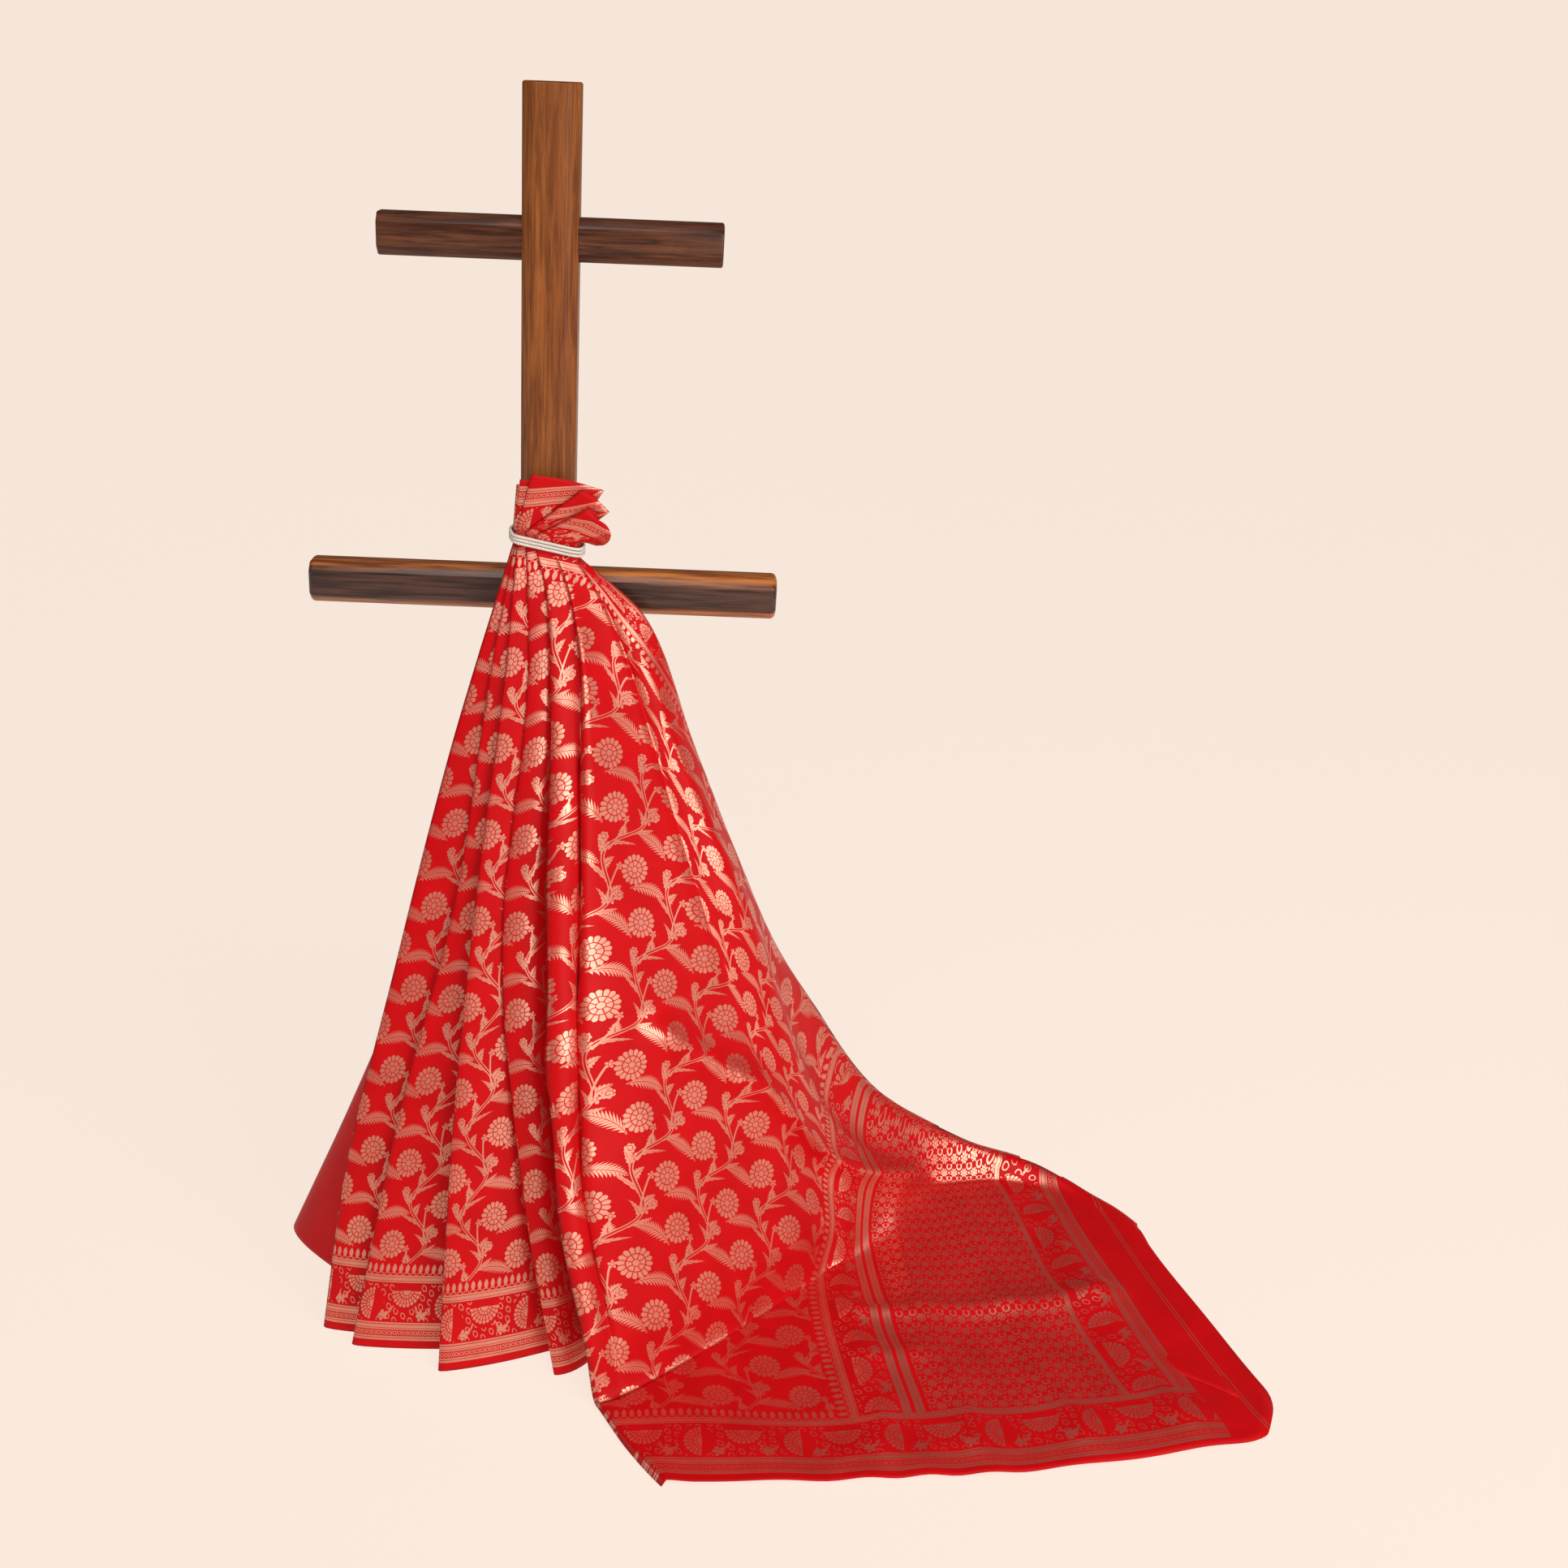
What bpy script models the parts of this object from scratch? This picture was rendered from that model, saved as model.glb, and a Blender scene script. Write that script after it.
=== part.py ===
"""A red silk sari with zari borders, knife-pleated and tied with a white cotton cord to a
plain wooden cross stand, its end spread over the floor to the right.

Metres, +Z up. The origin is on the floor under the middle of the post, +X is to the
viewer's right and -Y is towards the viewer.
"""

import math

import bmesh
import bpy
import numpy as np

# Stand: square post, two crossbars let through it, and a half-lapped cross foot.
POST_SIDE = 0.070
POST_TOP = 1.562
POST_CHAMFER = 0.014
UPPER_BAR = {"left": -0.214, "right": 0.213, "low": 1.356, "high": 1.408, "deep": 0.044, "chamfer": 0.011}
LOWER_BAR = {"left": -0.316, "right": 0.304, "low": 0.909, "high": 0.966, "deep": 0.048, "chamfer": 0.012}
FOOT_WIDTH = 0.060
FOOT_HEIGHT = 0.045
FOOT_ALONG_X = (-0.170, 0.200)
FOOT_ALONG_Y = (-0.200, 0.200)
FOOT_CHAMFER = 0.004
GAP = 0.0003

# Tie: a cotton cord wound round the post and the gathered cloth.
CORD_DIAMETER = 0.004
CORD_TURNS = 3
CORD_PITCH = 0.0044
CORD_HIGH = 1.0245
CORD_TILT = 0.016
CORD_CORNER = 0.011
CORD_ARC_STEP = math.radians(20)

# Sari: one sheet, gathered in layers in front of the post inside the tie.
NECK_Z = 1.0178
NECK_HALF = 0.0105
CLOTH = 0.0010
LAYER_PITCH = 0.0019
FIRST_LAYER_Y = -0.0392
FLOOR_Z = 0.0010
FOLD_DEPTH = 0.009
FAN_OUT = 0.020
TOP_SPREAD = 1.6
TUCK_FAN = 0.008

# Heights of the points down a hanging line. A visible fold runs smoothly from the tie through
# a few bends, as (height, x), to its foot.
HEIGHTS = (0.95, 0.86, 0.76, 0.66, 0.56, 0.46, 0.36, 0.26, 0.16, 0.08)
BENDS = {
    "flap": ((0.75, -0.100), (0.45, -0.170), (0.25, -0.245)),
    "a": ((0.75, -0.115), (0.45, -0.185), (0.20, -0.240)),
    "b": ((0.85, -0.065), (0.60, -0.095), (0.30, -0.165)),
    "c": ((0.85, -0.045), (0.65, -0.065), (0.30, -0.090)),
    "d": ((0.85, -0.015), (0.55, -0.035), (0.25, 0.000)),
    "front": ((0.95, 0.005), (0.30, 0.045)),
    "side": ((0.95, 0.015), (0.85, 0.030), (0.30, 0.065)),
    "long": ((0.95, 0.035), (0.85, 0.055), (0.30, 0.080)),
}

# Knife pleats, left to right. tie_x and foot are a pleat's left fold and tuck its hidden
# right one; face is where the cloth between them swells or sinks, as (share, forward);
# top is the end of each fold above the tie.
PLEATS = (
    {"name": "flap", "layer": 0, "tie_x": -0.0400, "tuck_x": 0.036, "foot": (-0.350, -0.174),
     "tuck": (-0.150, -0.334), "face": ((0.5, 0.012),), "top": (-0.036, 1.080), "tuck_top": (0.048, 1.084)},
    {"name": "a", "layer": 1, "tie_x": -0.0425, "tuck_x": 0.035, "foot": (-0.264, -0.364),
     "tuck": (-0.130, -0.374), "face": ((0.5, 0.004),), "top": (-0.038, 1.084), "tuck_top": (0.057, 1.080)},
    {"name": "b", "layer": 3, "tie_x": -0.0400, "tuck_x": 0.034, "foot": (-0.220, -0.396),
     "tuck": (-0.030, -0.398), "face": ((0.5, 0.002),), "top": (-0.033, 1.092), "tuck_top": (0.068, 1.076)},
    {"name": "c", "layer": 5, "tie_x": -0.0370, "tuck_x": 0.033, "foot": (-0.099, -0.440),
     "tuck": (0.064, -0.389), "face": ((0.5, 0.004),), "top": (-0.018, 1.100), "tuck_top": (0.074, 1.084)},
    {"name": "d", "layer": 7, "tie_x": -0.0250, "tuck_x": 0.031, "foot": (0.052, -0.438),
     "tuck": (0.146, -0.364), "face": ((0.30, 0.012), (0.62, 0.000)), "top": (0.046, 1.083),
     "tuck_top": (0.082, 1.058)},
)
INNER_END = (
    {"fold": None, "tie": (-0.0300, -0.0374), "foot": (-0.300, -0.030), "top": (-0.026, 1.076)},
    {"fold": "flap", "tie": (-0.0385, -0.0378), "foot": (-0.352, -0.125), "top": (-0.034, 1.078)},
)

# Front panel: lines from the tie to where the cloth touches the floor and on to its edge.
# depth is how far a line stands behind the panel, and fan how far it is pushed to the right
# just below the tie. low is the height of the cloth on the floor, where it may lie double.
FRONT = (
    {"name": "under_1", "fold": None, "tie": (0.018, -0.0565), "touch": (0.140, -0.398),
     "middle": (0.152, -0.426), "end": (0.165, -0.455), "low": 0.0010, "depth": 0.0, "fan": 0.0,
     "top": (0.068, 1.055)},
    {"name": "under_2", "fold": None, "tie": (0.005, -0.0568), "touch": (0.131, -0.440),
     "middle": (0.155, -0.482), "end": (0.180, -0.527), "low": 0.0010, "depth": 0.0, "fan": 0.0,
     "top": (0.062, 1.058)},
    {"name": "front_fold_back", "fold": "front", "tie": (-0.011, -0.0573), "touch": (0.116, -0.490),
     "middle": (0.154, -0.550), "end": (0.2015, -0.612), "low": 0.0010, "depth": 0.0, "fan": 0.0,
     "top": (0.055, 1.062)},
    {"name": "front_fold", "fold": "front", "tie": (-0.011, -0.0592), "touch": (0.114, -0.499),
     "middle": (0.152, -0.562), "end": (0.1990, -0.623), "low": 0.0058, "depth": 0.0, "fan": 0.0,
     "top": (0.056, 1.060)},
    {"name": "side_face", "fold": "side", "tie": (0.000, -0.0595), "touch": (0.128, -0.493),
     "middle": (0.165, -0.557), "end": (0.214, -0.6220), "low": 0.0050, "depth": -0.004, "fan": 0.0,
     "top": (0.060, 1.056)},
    {"name": "long_valley", "fold": "long", "tie": (0.011, -0.0585), "touch": (0.145, -0.482),
     "middle": (0.186, -0.551), "end": (0.234, -0.621), "low": 0.0042, "depth": 0.014, "fan": 0.0,
     "top": (0.065, 1.052)},
    {"name": "long_ridge", "fold": "long", "tie": (0.017, -0.0592), "touch": (0.152, -0.477),
     "middle": (0.199, -0.549), "end": (0.246, -0.6195), "low": 0.0042, "depth": -0.013, "fan": 0.0,
     "top": (0.068, 1.049)},
    {"name": "panel_1", "fold": None, "tie": (0.023, -0.0590), "touch": (0.195, -0.440),
     "middle": (0.262, -0.528), "end": (0.330, -0.616), "low": 0.0042, "depth": -0.004, "fan": 0.022,
     "top": (0.077, 1.044)},
    {"name": "panel_2", "fold": None, "tie": (0.028, -0.0592), "touch": (0.270, -0.372),
     "middle": (0.395, -0.485), "end": (0.520, -0.599), "low": 0.0042, "depth": 0.0, "fan": 0.022,
     "top": (0.081, 1.040)},
    {"name": "panel_3", "fold": None, "tie": (0.033, -0.0590), "touch": (0.345, -0.296),
     "middle": (0.550, -0.426), "end": (0.765, -0.561), "low": 0.0042, "depth": 0.0, "fan": 0.022,
     "top": (0.083, 1.036)},
    {"name": "panel_4", "fold": None, "tie": (0.0362, -0.0585), "touch": (0.385, -0.258),
     "middle": (0.655, -0.388), "end": (0.930, -0.520), "low": 0.0042, "depth": 0.0, "fan": 0.022,
     "top": (0.084, 1.033)},
    {"name": "hem_corner", "fold": None, "tie": (0.0378, -0.0578), "touch": (0.396, -0.248),
     "middle": (0.680, -0.376), "end": (0.961, -0.508), "low": 0.0042, "depth": 0.0, "fan": 0.022,
     "top": (0.0845, 1.031)},
    {"name": "short_side", "fold": None, "tie": (0.0386, -0.0573), "touch": (0.401, -0.242),
     "middle": (0.685, -0.366), "end": (0.968, -0.499), "low": 0.0042, "depth": 0.0, "fan": 0.022,
     "top": (0.0845, 1.030)},
    {"name": "end_corner", "fold": None, "tie": (0.0396, -0.0564), "touch": (0.412, -0.230),
     "middle": (0.700, -0.334), "end": (0.995, -0.438), "low": 0.0042, "depth": 0.0, "fan": 0.022,
     "top": (0.085, 1.029)},
    {"name": "end_1", "fold": None, "tie": (0.0406, -0.0553), "touch": (0.425, -0.212),
     "middle": (0.705, -0.290), "end": (0.979, -0.388), "low": 0.0042, "depth": 0.0, "fan": 0.022,
     "top": (0.085, 1.027)},
)

# Folds of the trailing end: lines of points from below the tie to the end edge. lands is
# the number of the point at which the line comes down to the floor.
TRAIL = (
    {"name": "end_2", "tie": (0.0416, -0.0540), "top": (0.084, 1.024), "lands": 6, "points": (
        (0.0745, -0.0640, 0.951), (0.1035, -0.0795, 0.898), (0.168, -0.114, 0.735), (0.266, -0.146, 0.500),
        (0.356, -0.160, 0.255), (0.440, -0.152, 0.075), (0.520, -0.150, 0.012), (0.740, -0.210, 0.0045),
        (0.955, -0.312, 0.0042))},
    {"name": "ridge", "tie": (0.0426, -0.0523), "top": (0.0835, 1.021), "lands": 7, "points": (
        (0.0775, -0.0615, 0.953), (0.1095, -0.0765, 0.905), (0.188, -0.108, 0.740), (0.301, -0.132, 0.500),
        (0.388, -0.124, 0.258), (0.474, -0.094, 0.130), (0.545, -0.064, 0.072), (0.596, -0.034, 0.026),
        (0.700, -0.016, 0.016), (0.800, -0.034, 0.009), (0.930, -0.226, 0.0044))},
    {"name": "valley", "tie": (0.0434, -0.0504), "top": (0.082, 1.018), "lands": 7, "points": (
        (0.0805, -0.0580, 0.956), (0.1175, -0.0685, 0.912), (0.197, -0.084, 0.740), (0.297, -0.088, 0.500),
        (0.395, -0.066, 0.230), (0.480, -0.052, 0.108), (0.552, -0.034, 0.056), (0.612, -0.010, 0.016),
        (0.705, 0.006, 0.010), (0.805, -0.012, 0.009), (0.912, -0.160, 0.0048))},
    {"name": "back_slope", "tie": (0.0440, -0.0486), "top": (0.080, 1.015), "lands": 6, "points": (
        (0.0840, -0.0545, 0.958), (0.1255, -0.0615, 0.917), (0.203, -0.062, 0.740), (0.303, -0.058, 0.500),
        (0.410, -0.030, 0.258), (0.515, -0.010, 0.118), (0.600, 0.010, 0.066), (0.690, 0.022, 0.036),
        (0.790, 0.008, 0.016), (0.900, -0.112, 0.0060))},
    {"name": "crest", "tie": (0.0444, -0.0468), "top": (0.077, 1.012), "lands": 5, "points": (
        (0.088, -0.051, 0.960), (0.132, -0.056, 0.920), (0.205, -0.045, 0.735), (0.340, -0.020, 0.415),
        (0.435, 0.005, 0.260), (0.525, 0.020, 0.140), (0.625, 0.035, 0.080), (0.730, 0.035, 0.040),
        (0.795, 0.020, 0.020), (0.855, -0.030, 0.010), (0.895, -0.085, 0.006))},
    {"name": "crest_back", "tie": (0.0446, -0.0448), "top": (0.074, 1.010), "lands": 6, "points": (
        (0.0865, -0.0475, 0.957), (0.1300, -0.0510, 0.917), (0.204, -0.034, 0.727), (0.296, -0.018, 0.492),
        (0.395, 0.012, 0.294), (0.522, 0.038, 0.118), (0.624, 0.048, 0.062), (0.732, 0.042, 0.022),
        (0.855, -0.022, 0.0055), (0.897, -0.078, 0.0035))},
    {"name": "behind", "tie": (0.0445, -0.0428), "top": (0.071, 1.009), "lands": 6, "points": (
        (0.0850, -0.0440, 0.953), (0.1270, -0.0460, 0.909), (0.196, -0.022, 0.710), (0.280, 0.004, 0.440),
        (0.385, 0.044, 0.160), (0.470, 0.058, 0.050), (0.560, 0.060, 0.004), (0.660, 0.052, 0.0012),
        (0.780, 0.026, 0.0010), (0.904, -0.100, 0.0010))},
    {"name": "under", "tie": (0.0441, -0.0410), "top": (0.068, 1.008), "lands": 5, "points": (
        (0.0830, -0.0415, 0.949), (0.1240, -0.0430, 0.900), (0.187, -0.014, 0.692), (0.266, 0.014, 0.390),
        (0.360, 0.040, 0.080), (0.430, 0.010, 0.004), (0.560, -0.060, 0.0010), (0.700, -0.125, 0.0010),
        (0.914, -0.220, 0.0010))},
    {"name": "back_edge", "tie": (0.0435, -0.0395), "top": (0.065, 1.007), "lands": 5, "points": (
        (0.0810, -0.0395, 0.945), (0.1210, -0.0405, 0.892), (0.180, -0.008, 0.675), (0.256, 0.018, 0.350),
        (0.335, 0.022, 0.030), (0.400, -0.060, 0.0010), (0.520, -0.170, 0.0010), (0.680, -0.280, 0.0010),
        (0.950, -0.440, 0.0010))},
)

# Rows of the sheet: shares of a line's length to where it lands, shares of the rest, and
# shares of its height above the tie. A pleat never lands, so its rows all hang.
ROWS_HANGING = (0.016, 0.05, 0.10, 0.16, 0.24, 0.32, 0.41, 0.50, 0.59, 0.68, 0.77, 0.86, 0.94, 1.0)
ROWS_LYING = (0.10, 0.25, 0.44, 0.64, 0.83, 1.0)
ROWS_ABOVE = (1.0, 0.72, 0.45, 0.2)
PLEAT_HANGING = 0.80
SAMPLES_PER_LINE = 2

SILK = (0.62, 0.012, 0.016, 1.0)
COTTON = (0.72, 0.69, 0.64, 1.0)
TEAK = (0.30, 0.115, 0.040, 1.0)
ROSEWOOD = (0.110, 0.042, 0.024, 1.0)


def material(name, colour, roughness, metallic=0.0):
    made = bpy.data.materials.new(name)
    made.use_nodes = True
    shader = made.node_tree.nodes["Principled BSDF"]
    shader.inputs["Base Color"].default_value = colour
    shader.inputs["Roughness"].default_value = roughness
    shader.inputs["Metallic"].default_value = metallic
    made.diffuse_color = colour
    return made


def add_object(name, mesh, collection, finish):
    made = bpy.data.objects.new(name, mesh)
    made.data.materials.append(finish)
    collection.objects.link(made)
    return made


def box_mesh(name, low, high, grow=0.0):
    mesh = bpy.data.meshes.new(name)
    cage = bmesh.new()
    bmesh.ops.create_cube(cage, size=1.0)
    size = [b - a + 2 * grow for a, b in zip(low, high)]
    middle = [(a + b) / 2 for a, b in zip(low, high)]
    bmesh.ops.scale(cage, vec=size, verts=cage.verts)
    bmesh.ops.translate(cage, vec=middle, verts=cage.verts)
    cage.to_mesh(mesh)
    cage.free()
    return mesh


def chamfer_along(mesh, axis, width):
    """Cuts the long edges of a box that run along the axis."""
    cage = bmesh.new()
    cage.from_mesh(mesh)
    others = [i for i in range(3) if i != axis]
    edges = [
        e for e in cage.edges
        if all(abs(e.verts[0].co[i] - e.verts[1].co[i]) < 1e-6 for i in others)
    ]
    bmesh.ops.bevel(cage, geom=edges, offset=width, segments=1, profile=0.5, affect="EDGES")
    cage.to_mesh(mesh)
    cage.free()


def cut(target, cutter_mesh, cutters):
    cutter = bpy.data.objects.new(cutter_mesh.name, cutter_mesh)
    cutters.objects.link(cutter)
    cutter.hide_render = True
    cutter.display_type = "WIRE"
    boolean = target.modifiers.new(cutter_mesh.name, "BOOLEAN")
    boolean.operation = "DIFFERENCE"
    boolean.solver = "EXACT"
    boolean.object = cutter


def add_bar(name, bar, collection, finish):
    low = (bar["left"], -bar["deep"] / 2, bar["low"])
    high = (bar["right"], bar["deep"] / 2, bar["high"])
    mesh = box_mesh(name, low, high)
    chamfer_along(mesh, 0, bar["chamfer"])
    return add_object(name, mesh, collection, finish)


def add_stand(collection, cutters):
    teak = material("teak", TEAK, 0.35)
    dark = material("rosewood", ROSEWOOD, 0.32)
    half = POST_SIDE / 2
    mesh = box_mesh("post", (-half, -half, FOOT_HEIGHT + GAP), (half, half, POST_TOP))
    chamfer_along(mesh, 2, POST_CHAMFER)
    post = add_object("post", mesh, collection, teak)
    for name, bar in (("upper_bar", UPPER_BAR), ("lower_bar", LOWER_BAR)):
        add_bar(name, bar, collection, dark)
        low = (-POST_SIDE, -bar["deep"] / 2, bar["low"])
        high = (POST_SIDE, bar["deep"] / 2, bar["high"])
        cut(post, box_mesh(name + "_mortise", low, high, GAP), cutters)

    across = FOOT_WIDTH / 2
    lap = FOOT_HEIGHT / 2
    for name, axis, reach in (("foot_along_x", 0, FOOT_ALONG_X), ("foot_along_y", 1, FOOT_ALONG_Y)):
        low = [-across, -across, 0.0]
        high = [across, across, FOOT_HEIGHT]
        low[axis], high[axis] = reach
        mesh = box_mesh(name, low, high)
        chamfer_along(mesh, axis, FOOT_CHAMFER)
        foot = add_object(name, mesh, collection, teak)
        notch_low = [-across - GAP, -across - GAP, -GAP if axis == 1 else lap - GAP / 2]
        notch_high = [across + GAP, across + GAP, lap + GAP / 2 if axis == 1 else FOOT_HEIGHT + GAP]
        notch_low[1 - axis] = -FOOT_WIDTH
        notch_high[1 - axis] = FOOT_WIDTH
        cut(foot, box_mesh(name + "_lap", notch_low, notch_high), cutters)


def cord_outline(offset):
    """Corners of the post and the gathered cloth together, pushed out by offset, as (x, y, radius)."""
    back = POST_SIDE / 2 + offset
    return (
        (-back, back, CORD_CORNER + 0.004),
        (-0.0455 - offset, -0.036, CORD_CORNER + 0.010),
        (-0.0385 - offset, -0.0605 - offset, CORD_CORNER),
        (0.0425 + offset, -0.0605 - offset, CORD_CORNER),
        (0.0472 + offset, -0.036, CORD_CORNER + 0.010),
        (back, back, CORD_CORNER + 0.004),
    )


def rounded_loop(corners):
    """Points round a polygon with an arc in each corner, from the middle of its last side."""
    corners = [(np.array(c[:2]), c[2]) for c in corners]
    count = len(corners)
    loop = []
    for i, (corner, radius) in enumerate(corners):
        before = corners[i - 1][0] - corner
        after = corners[(i + 1) % count][0] - corner
        before = before / np.linalg.norm(before)
        after = after / np.linalg.norm(after)
        half_angle = math.acos(float(before @ after)) / 2
        middle = before + after
        centre = corner + middle / np.linalg.norm(middle) * radius / math.sin(half_angle)
        spoke = corner + before * radius / math.tan(half_angle) - centre
        sweep = math.pi - 2 * half_angle
        turn = math.copysign(1.0, before[1] * after[0] - before[0] * after[1])
        steps = max(1, round(sweep / CORD_ARC_STEP))
        for step in range(steps + 1):
            angle = turn * sweep * step / steps
            x = spoke[0] * math.cos(angle) - spoke[1] * math.sin(angle)
            y = spoke[0] * math.sin(angle) + spoke[1] * math.cos(angle)
            loop.append(centre + (x, y))
    start = (loop[0] + loop[-1]) / 2
    return np.array([start, *loop])


def cord_points():
    """Turns that slope down to the right, each a pitch below the last, with both ends behind the post."""
    loop = rounded_loop(cord_outline(CORD_DIAMETER / 2 + GAP))
    steps = np.linalg.norm(np.roll(loop, -1, axis=0) - loop, axis=1)
    reached = np.concatenate([[0], np.cumsum(steps)]) / steps.sum()
    points = []
    for turn in range(CORD_TURNS):
        for place, share in zip([*loop, loop[0]], reached):
            if turn and share == 0:
                continue
            height = CORD_HIGH - CORD_PITCH * (turn + share) - CORD_TILT * (place[0] / 0.09 + 0.5)
            points.append((*place, height))
    return points


def add_tie(collection):
    curve = bpy.data.curves.new("tie_cord", "CURVE")
    curve.dimensions = "3D"
    points = cord_points()
    spline = curve.splines.new("POLY")
    spline.points.add(len(points) - 1)
    for knot, place in zip(spline.points, points):
        knot.co = (*place, 1.0)
    curve.bevel_depth = CORD_DIAMETER / 2
    curve.bevel_resolution = 2
    curve.use_fill_caps = True
    made = bpy.data.objects.new("tie_cord", curve)
    curve.materials.append(material("cotton", COTTON, 0.85))
    collection.objects.link(made)


def smooth_steps(known, values, wanted):
    """Values between known ones by a monotone cubic, so that no line overshoots its points."""
    known = np.asarray(known, float)
    values = np.asarray(values, float)
    gaps = np.diff(known)
    slopes = np.diff(values) / gaps
    tangents = np.empty_like(values)
    tangents[0] = slopes[0]
    tangents[-1] = slopes[-1]
    same = slopes[:-1] * slopes[1:] > 0
    w1 = 2 * gaps[1:] + gaps[:-1]
    w2 = gaps[1:] + 2 * gaps[:-1]
    safe = np.where(same, slopes[:-1], 1.0), np.where(same, slopes[1:], 1.0)
    tangents[1:-1] = np.where(same, (w1 + w2) / (w1 / safe[0] + w2 / safe[1]), 0.0)
    cell = np.clip(np.searchsorted(known, wanted, side="right") - 1, 0, len(gaps) - 1)
    h = gaps[cell]
    s = (wanted - known[cell]) / h
    return (
        (1 + 2 * s) * (1 - s) ** 2 * values[cell]
        + s * (1 - s) ** 2 * h * tangents[cell]
        + s * s * (3 - 2 * s) * values[cell + 1]
        + s * s * (s - 1) * h * tangents[cell + 1]
    )


def along(points, lands):
    """Places down the smooth line through the points, with a row just where it lands."""
    points = np.asarray(points, float)
    travelled = np.concatenate([[0], np.cumsum(np.linalg.norm(np.diff(points, axis=0), axis=1))])
    length = travelled[-1]
    landing = PLEAT_HANGING * length if lands is None else travelled[lands]
    wanted = [landing * share for share in ROWS_HANGING]
    wanted += [landing + (length - landing) * share for share in ROWS_LYING]
    return np.stack([smooth_steps(travelled, points[:, i], np.array(wanted)) for i in range(3)], axis=1)


def neck(tie, side):
    """The place of a line at the upper or lower side of the tie, which slopes down to the right."""
    return np.array([*tie, NECK_Z - CORD_TILT * (tie[0] / 0.09 + 0.5) + NECK_HALF * side])


def bent_x(start, bends, foot_x, low, height):
    """A fold's x at a height, on a smooth line from the tie through its bends to its foot."""
    drops = [-start[2], *(-bend[0] for bend in bends), -low]
    places = [start[0], *(bend[1] for bend in bends), foot_x]
    return float(smooth_steps(drops, places, -height))


def hanging(tie, foot, low, bends=None, depth=0.0, fan=0.0):
    """Points of a line that hangs from the tie to its foot, swelling a little towards the viewer."""
    start = neck(tie, -1)
    points = [start]
    for height in (*HEIGHTS, low):
        drop = (start[2] - height) / (start[2] - low)
        if bends:
            x = bent_x(start, bends, foot[0], low, height)
        else:
            early = drop / 0.13 * math.exp(1 - drop / 0.13)
            x = tie[0] + (foot[0] - tie[0]) * drop + (fan * early if height != low else 0.0)
        shown = min(1.0, 9 * drop, 5 * (1 - drop))
        y = tie[1] + (foot[1] - tie[1]) * drop - FAN_OUT * 4 * drop * (1 - drop) + depth * shown
        points.append(np.array([x, y, height]))
    return points


def between(left, right, share, forward):
    """A line on the face of a pleat, at a share of the way from its left fold to its right one."""
    made = [a + (b - a) * share for a, b in zip(left, right)]
    return [point - np.array([0.0, forward * min(1.0, 0.3 * i), 0.0]) for i, point in enumerate(made)]


def sheet_lines():
    """The lines down the cloth, in order across it: each is its place in the tie, its top and the points below."""
    lines = []

    def layer_y(layer):
        return FIRST_LAYER_Y - LAYER_PITCH * layer

    def add(tie, top, below, lands=None):
        top_y = FIRST_LAYER_Y + (tie[1] - FIRST_LAYER_Y) * TOP_SPREAD
        lines.append((tie, np.array([top[0], top_y, top[1]]), along(below, lands)))

    def add_fold(x, foot, layers, top, bends):
        """The two lines of a knife fold, first the one that lies behind, and the points of the second."""
        for side, layer in enumerate(layers):
            tie = (x, layer_y(layer))
            low_y = foot[1] + FOLD_DEPTH * (0.5 - side)
            points = hanging(tie, (foot[0], low_y), FLOOR_Z, bends, fan=TUCK_FAN)
            add(tie, top, points)
        return points

    for pleat in PLEATS:
        layer = pleat["layer"]
        bends = BENDS[pleat["name"]]
        if pleat["name"] == "flap":
            tie = (pleat["tie_x"], layer_y(0))
            for line in INNER_END:
                turned = BENDS.get(line["fold"])
                add(line["tie"], line["top"], hanging(line["tie"], line["foot"], FLOOR_Z, turned))
            left = hanging(tie, pleat["foot"], FLOOR_Z, bends)
            add(tie, pleat["top"], left)
        else:
            left = add_fold(pleat["tie_x"], pleat["foot"], (layer, layer + 1), pleat["top"], bends)
            layer += 1
        tuck_tie = (pleat["tuck_x"], layer_y(layer))
        right = hanging(tuck_tie, pleat["tuck"], FLOOR_Z, fan=TUCK_FAN)
        for share, forward in pleat["face"]:
            tie = (pleat["tie_x"] + (pleat["tuck_x"] - pleat["tie_x"]) * share, layer_y(layer))
            top = [a + (b - a) * share for a, b in zip(pleat["top"], pleat["tuck_top"])]
            add(tie, (top[0], top[1] + 0.004), between(left, right, share, forward))
        add_fold(pleat["tuck_x"], pleat["tuck"], (layer, layer + 1), pleat["tuck_top"], None)
    for line in FRONT:
        bends = BENDS.get(line["fold"])
        below = hanging(line["tie"], line["touch"], line["low"], bends, line["depth"], line["fan"])
        lands = len(below) - 1
        below += [np.array([*line["middle"], line["low"]]), np.array([*line["end"], line["low"]])]
        add(line["tie"], line["top"], below, lands)
    for line in TRAIL:
        below = [neck(line["tie"], -1), *line["points"]]
        add(line["tie"], line["top"], below, line["lands"] + 1)
    return lines


def cage_of(lines):
    """A grid of points: one column for each line, and one row for each place down it."""
    columns = []
    for tie, top, below in lines:
        rim = neck(tie, 1)
        above = [rim + (top - rim) * share for share in ROWS_ABOVE]
        columns.append(np.concatenate([above, [rim, neck(tie, 0), neck(tie, -1)], below]))
    return np.array(columns)


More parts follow.
